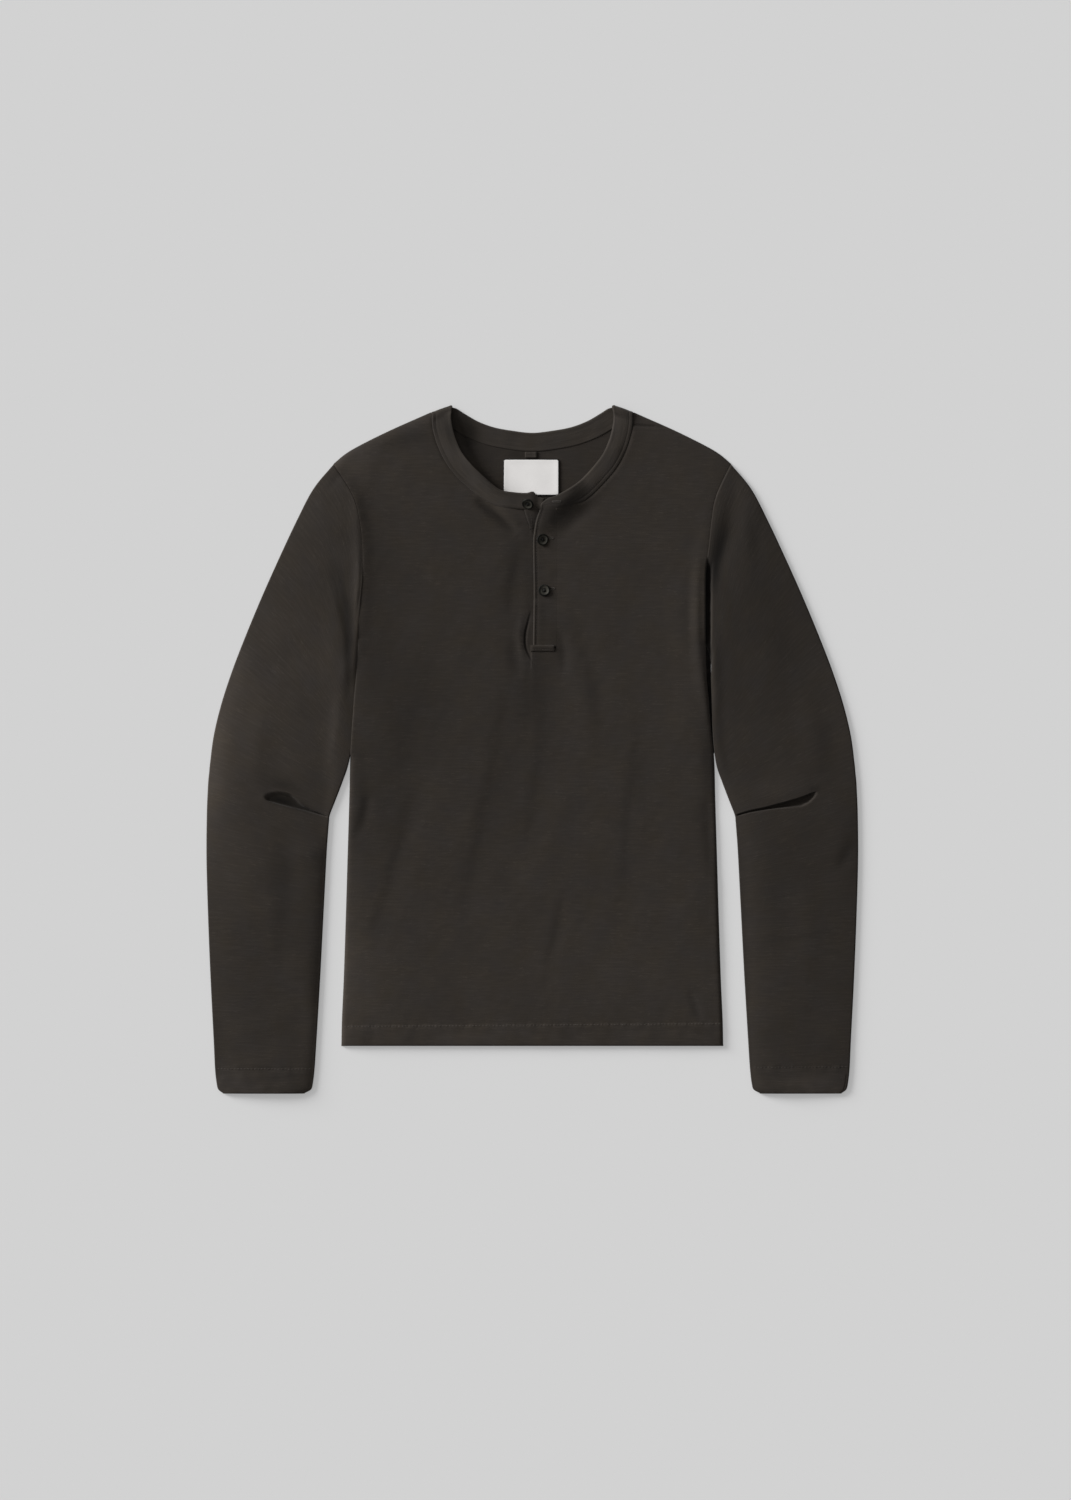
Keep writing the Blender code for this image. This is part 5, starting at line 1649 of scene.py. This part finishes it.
def label():
    x0, x1, y0, y1 = LABEL.x0 + 1.2, LABEL.x1 - 1.2, LABEL.y0 + 2.0, LABEL.y1 - 1.5
    corner = 1.1
    turn = np.radians(np.linspace(0, 90, 5))
    loop = []
    for cx, cy, start in ((x1, y1, 0), (x0, y1, 90), (x0, y0, 180), (x1, y0, 270)):
        sx, sy = (-1 if cx == x1 else 1), (-1 if cy == y1 else 1)
        angle = turn + math.radians(start)
        loop.append(np.column_stack([
            cx + sx * corner + corner * np.cos(angle), cy + sy * corner + corner * np.sin(angle)
        ]))
    loop = np.vstack([every(run, 1.8)[:-1] for run in close_runs([*loop])])

    def face(points):
        gap = gap_to(points, closed(loop))
        level = LABEL.z + 0.62 + ripples(points, 71, 30.0, 0.07, 0.5)
        level += 0.10 * soft_step((4.0 - gap) / 3.0)
        return level - 0.22 * (1 - rounded(gap / 0.4))

    def low(points):
        return np.full(len(points), LABEL.z + 0.25)

    rims = [0.08, 0.25, 0.6]
    plate = panel("label_plate", loop, face, low, (1.8, 8.0), rims, [], label_material, none, none)
    edge = closed(loop)
    outward = 0.3
    middle = edge.mean(axis=0)
    half = np.array([(x1 - x0) / 2, (y1 - y0) / 2])
    ring = middle + (edge - middle) * (1 + outward / half)
    height = np.full(len(ring), LABEL.z + 0.42)
    # A thin black ring round the label, drawn for the dark line of shade along its edge: painted
    # shade.
    rope = tube("label_dark_rim", np.column_stack([ring, height]), 0.42, 8, "label", black_thread)
    size = LABEL.x1 - LABEL.x0, LABEL.y1 - LABEL.y0
    declare_sheet(plate, "label", *size, None, ["back_panel"], [rope])


def loop_tab():
    x0, x1, y0, y1, low = TAB
    rows = np.linspace(y0, y1, 9)
    lefts, rights = (np.column_stack([np.full(len(rows), x), rows]) for x in (x0, x1))
    percents = [0, 2, 6, 14, 26, 40, 55, 68, 78, 86, 92, 96, 99, 100]

    def height(points):
        side = np.minimum(points[:, 0] - x0, x1 - points[:, 0])
        fold = 0.35 * hill(points[:, 0] - x1 + 1.6, 1.1)
        return wrap(low + 0.75 + fold, side, low + 0.2, 0.8)

    return strip_shell("back_tab", lefts, rights, percents, height, low, "neckband", trim_material)


# Stitches, threads and buttons.


def tube_mesh(path, radii, sides):
    """Points and faces of a closed tube along a path, its ends capped."""
    path = np.asarray(path, float)
    tangent = unit(np.gradient(path, axis=0))
    flat = np.cross(tangent, (0.0, 0.0, 1.0))
    flat /= np.maximum(np.linalg.norm(flat, axis=1), 1e-9)[:, None]
    up = np.cross(flat, tangent)
    turn = 2 * math.pi * np.arange(sides) / sides
    ring = np.cos(turn)[None, :, None] * flat[:, None] + np.sin(turn)[None, :, None] * up[:, None]
    verts = (path[:, None] + np.asarray(radii)[:, None, None] * ring).reshape(-1, 3)
    return verts, ring_faces(len(path), sides)


def join_parts(parts):
    verts, faces, shift = [], [], 0
    for some, quads in parts:
        verts.append(some)
        faces += [tuple(i + shift for i in face) for face in quads]
        shift += len(some)
    return np.vstack(verts), faces


def tube(name, path, radius, sides, slot, material):
    verts, faces = tube_mesh(path, np.full(len(path), radius), sides)
    return add_object(name, verts, faces, slot, material)


def stitch(start, end, radius, sink=0.25):
    """One stitch: a short thread, raised in the middle, whose ends go into the cloth."""
    share = np.array([0, 0.12, 0.35, 0.65, 0.88, 1.0])
    path = start + share[:, None] * (end - start)
    path[:, 2] += -sink + (sink + 0.6 * radius) * np.array([0, 0.7, 1, 1, 0.7, 0])
    return tube_mesh(path, radius * np.array([0.5, 0.9, 1, 1, 0.9, 0.5]), 6)


def stitch_row(curve, height, pitch, dash, radius, seed, stray=0.12, uneven=0.0):
    """Stitches along a plan curve, on the cloth's face, a little uneven."""
    rng = np.random.default_rng(seed)
    along = lengths(curve)
    parts = []
    starts = np.arange(pitch * 0.3, along[-1] - dash, pitch)
    jitter = rng.normal(0, stray, (len(starts), 2))
    sinks = 0.25 + uneven * rng.random(len(starts))
    ends = np.concatenate([starts, starts + dash])
    plan = places_on(curve, along, ends)
    plan += np.vstack([jitter, np.roll(jitter, -1, axis=0)]) * 0.6
    points = np.column_stack([plan, height(plan)])
    for k in range(len(starts)):
        start, end = points[k], points[k + len(starts)]
        if np.isfinite([start[2], end[2]]).all():
            parts.append(stitch(start, end, radius, sinks[k]))
    return parts


def sewn(name, slot, material, parts):
    return add_object(name, *join_parts(parts), slot, material)


HOLE_TURNS = [math.radians(45 + 90 * k) for k in range(4)]
BUTTON_PROFILE = [
    (0.0, 0.62), (0.42, 0.62), (0.56, 0.66), (0.64, 0.74), (0.7, 0.84), (0.77, 0.94), (0.85, 1.0),
    (0.92, 0.95), (0.975, 0.82), (1.0, 0.62), (1.0, 0.38), (0.96, 0.16), (0.82, 0.0), (0.0, 0.0),
]


def button_mesh():
    """A turned disc with a raised rim and four thread holes."""
    profile = [(BUTTON_DIAMETER / 2 * r, BUTTON_HEIGHT * z) for r, z in BUTTON_PROFILE]
    mesh = bpy.data.meshes.new("button")
    edges = [(i, i + 1) for i in range(len(profile) - 1)]
    mesh.from_pydata([(MM * r, 0, MM * z) for r, z in profile], edges, [])
    disc = new_object("button_blank", mesh)
    screw = disc.modifiers.new("Turn", "SCREW")
    screw.steps = screw.render_steps = 64
    screw.use_merge_vertices = True
    screw.merge_threshold = 1e-6
    drills = []
    for k, angle in enumerate(HOLE_TURNS):
        bpy.ops.mesh.primitive_cylinder_add(
            vertices=20, radius=HOLE_RADIUS * MM, depth=4 * BUTTON_HEIGHT * MM,
            location=(HOLE_OFFSET * MM * math.cos(angle), HOLE_OFFSET * MM * math.sin(angle), 0),
        )
        drills.append(bpy.context.object)
        cut = disc.modifiers.new(f"Hole {k}", "BOOLEAN")
        cut.object = drills[-1]
    bevel = disc.modifiers.new("Eased holes", "BEVEL")
    bevel.width = 0.08 * MM
    bevel.angle_limit = math.radians(50)
    bpy.context.view_layer.update()
    graph = bpy.context.evaluated_depsgraph_get()
    shape = bpy.data.meshes.new_from_object(disc.evaluated_get(graph))
    for obj in [disc, *drills]:
        bpy.data.objects.remove(obj, do_unlink=True)
    shape.shade_smooth()
    shape.set_sharp_from_angle(angle=math.radians(50))
    shape.materials.clear()
    shape.materials.append(button_material)
    attribute = shape.attributes.new("radius", "FLOAT", "POINT")
    radii = [math.hypot(v.co.x, v.co.y) / (BUTTON_DIAMETER / 2 * MM) for v in shape.vertices]
    attribute.data.foreach_set("value", np.array(radii, np.float32))
    return shape


def button_threads():
    """Two pairs of strands that cross between the holes."""
    parts = []
    radius, apart = 0.22, 0.24
    web = 0.60 * BUTTON_HEIGHT
    for k, angle in enumerate(HOLE_TURNS[:2]):
        run = np.array([math.cos(angle), math.sin(angle), 0.0])
        beside = np.array([-run[1], run[0], 0.0])
        for offset in (-apart, apart):
            share = np.linspace(-1, 1, 11)
            path = HOLE_OFFSET * share[:, None] * run + offset * beside
            rise = radius + 0.16 * k * hill(share, 0.35)
            path[:, 2] = web + rise - 1.5 * np.clip((np.abs(share) - 0.68) / 0.32, 0, 1) ** 2
            parts.append(tube_mesh(path, np.full(len(path), radius), 8))
    return join_parts(parts)


def buttons():
    shape = button_mesh()
    threads, faces = button_threads()
    for spec in BUTTONS:
        place = Matrix.Translation(MM * Vector((spec.x, spec.y, spec.z)))
        place = place @ Matrix.Rotation(math.radians(spec.turn), 4, "Z")
        place = place @ Matrix.Rotation(math.radians(spec.tilt), 4, "X")
        mesh = shape.copy()
        mesh.transform(place)
        obj = new_object(f"{spec.name}_turned", mesh)
        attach(obj, "root")
        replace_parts(obj, spec.name)
        turned = np.array([place @ (MM * Vector(p)) for p in threads]) / MM
        add_object(f"{spec.name}_thread", turned, faces, "button", button_thread)


def surface(*objects):
    """A function that gives the height of the highest of these objects, or nan where none is."""
    graph = bpy.context.evaluated_depsgraph_get()
    trees = [BVHTree.FromObject(obj, graph) for obj in objects]

    def height(points):
        found = np.full(len(points), np.nan)
        for i, (x, y) in enumerate(points):
            for tree in trees:
                hit = tree.ray_cast(Vector((MM * x, MM * y, 0.05)), Vector((0, 0, -1)))[0]
                if hit is not None:
                    found[i] = np.nanmax([found[i], hit.z / MM])
        return found

    return height


def buttonhole(name, x0, x1, y, height, slot):
    """A worked buttonhole along X: a slit between two dense rows of stitches, with end bars."""

    def on_cloth(*places):
        return np.column_stack([places, height(np.array(places))])

    pitch, sink = 0.42, 0.12
    parts = []
    count = int((x1 - x0) / pitch)
    for k in range(count + 1):
        x = x0 + (x1 - x0) * k / count
        for sign in (-1, 1):
            ends = on_cloth((x, y + 0.18 * sign), (x + 0.08, y + 1.0 * sign))
            parts.append(stitch(*ends, radius=0.2, sink=sink))
    for x in (x0 - 0.35, x1 + 0.35):
        parts.append(stitch(*on_cloth((x, y - 0.95), (x, y + 0.95)), radius=0.27, sink=sink))
    sewn(name, slot, thread_material, parts)
    # The slit is a thin black thread laid along it: painted shade in the opening.
    slit = on_cloth((x0, y), ((x0 + x1) / 2, y), (x1, y)) + [0, 0, 0.02]
    tube(f"{name}_slit", slit, 0.16, 6, slot, black_thread)


# The sewing goes on the finished panels.
CUFF_STITCH_X = (209.6, 299.6)
# The left cuff's stitches are in a paler thread than the right's: lit and shaded copies, painted
# light and shade.
CUFF_THREAD_LIT_AND_SHADED = {"left": thread_material, "right": tonal_thread}
hem_row = stitch_row(
    HEM_STITCH * [0.994, 1], surface(front),
    pitch=3.2, dash=2.4, radius=0.24, seed=81, stray=0.3, uneven=0.5,
)
hem_threads = sewn("hem_stitches", "jersey", thread_material, hem_row)
declare_sheet(front, "front", front_width, front_length, front_area, ["back_panel"], [hem_threads])
for side in SIDES:
    obj, width, length, area = sleeves[side]
    row = np.array([(SIGN[side] * x, CUFF_STITCH_Y[side]) for x in CUFF_STITCH_X])
    cuff_row = stitch_row(
        row, surface(obj), pitch=3.2, dash=2.3, radius=0.24, seed=82, stray=0.3, uneven=0.5
    )
    threads = sewn(f"cuff_stitches_{side}", "jersey", CUFF_THREAD_LIT_AND_SHADED[side], cuff_row)
    declare_sheet(obj, f"sleeve_{side}", width, length, area, ["floor"], [threads])

band = neckband()
overlap, underlap = placket()
bar = tack()
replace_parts(bar, "placket_tack")
overlap_top = surface(overlap, front)
edge = spline(OVERLAP_EDGE, 6)
row = edge[(edge[:, 1] < PLACKET_TOP - 2) & (edge[:, 1] > PLACKET_BOTTOM + 4)] + np.array([3.3, 0])
edge_row = stitch_row(row, overlap_top, pitch=2.6, dash=1.9, radius=0.17, seed=83)
row = np.array([(TACK.x0 + 1.2, TACK.y0 + 2.1), (TACK.x1 - 1.2, TACK.y0 + 2.1)])
bar_row = stitch_row(row, surface(bar), pitch=2.2, dash=1.6, radius=0.2, seed=84)
declare_sheet(
    overlap, "placket_overlap", PLACKET_SEAM_X, PLACKET_LENGTH, None, ["underlap_strip"],
    [
        bar,
        sewn("placket_stitches", "placket", tonal_thread, edge_row),
        sewn("tack_stitches", "placket", tonal_thread, bar_row),
    ],
)
row = np.array([(-7.9, 226.6), (-4.7, 217.0), (-1.4, 207.2)])
dark_row = stitch_row(row, surface(underlap, front), pitch=2.1, dash=1.6, radius=0.30, seed=85)
row = np.array([(-1.3, 224.0), (-0.4, 215.0), (0.1, 207.5)])
inner_row = stitch_row(row, surface(underlap), pitch=2.4, dash=1.5, radius=0.17, seed=86)
declare_sheet(
    underlap, "placket_underlap", UNDERLAP_WIDTH, PLACKET_LENGTH, None, ["back_panel"],
    [
        sewn("underlap_stitches", "placket", black_thread, dark_row),
        sewn("underlap_stitches_inner", "placket", tonal_thread, inner_row),
    ],
)
label()
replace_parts(loop_tab(), "neck_loop")
buttons()
buttonhole("buttonhole_bottom", 9.0, 20.6, 152.6, overlap_top, "placket")
buttonhole("buttonhole_middle", 8.0, 19.6, 200.4, overlap_top, "placket")
buttonhole("buttonhole_top", 19.6, 26.4, 234.9, surface(band), "neckband")


# Floor, light and camera.

SUN_STRENGTH = 5.48
SUN_SIZE = math.radians(24)
SUN_ELEVATION = math.radians(18)
SUN_TURN = math.radians(-30)
FLOOR_COLOR = 0.371
FLOOR_GLOW = 0.30
ROOM_LEVEL = 0.39
CAMERA_PLACE = (0.00304, -0.00081, 3.962)
WHITE = (1, 1, 1, 1)

floor_material, _, floor_shader = new_material("light_table", 0.9, 0.0)
set_inputs(floor_shader, {
    "Base Color": (*[FLOOR_COLOR] * 3, 1), "Emission Color": WHITE, "Emission Strength": FLOOR_GLOW,
})
bpy.ops.mesh.primitive_plane_add(size=8.0, location=(0, 0, -0.0001))
floor = bpy.context.object
floor.name = "floor"
floor.data.materials.append(floor_material)

sun = bpy.data.lights.new("sun", "SUN")
sun.energy = SUN_STRENGTH
sun.angle = SUN_SIZE
travel = Vector((
    math.cos(SUN_ELEVATION) * math.cos(SUN_TURN),
    math.cos(SUN_ELEVATION) * math.sin(SUN_TURN),
    -math.sin(SUN_ELEVATION),
))
new_object("sun", sun).rotation_euler = travel.to_track_quat("-Z", "Y").to_euler()

# The room is brighter towards the upper left.
world = bpy.data.worlds.new("room")
world.use_nodes = True
tree = world.node_tree
toward = add_node(
    tree, "VectorMath",
    {0: add_node(tree, "TexCoord", {}), 1: (-math.cos(SUN_TURN), -math.sin(SUN_TURN), 0)}, "Value",
    operation="DOT_PRODUCT",
)
strength = math_node(tree, "MULTIPLY_ADD", toward, ROOM_LEVEL, ROOM_LEVEL)
set_inputs(tree.nodes["Background"], {"Strength": strength, "Color": WHITE})
bpy.context.scene.world = world

camera = bpy.data.cameras.new("camera")
camera.lens = 100
camera_object = new_object("camera", camera)
camera_object.location = CAMERA_PLACE
bpy.context.scene.camera = camera_object
bpy.context.scene.view_settings.view_transform = "Standard"
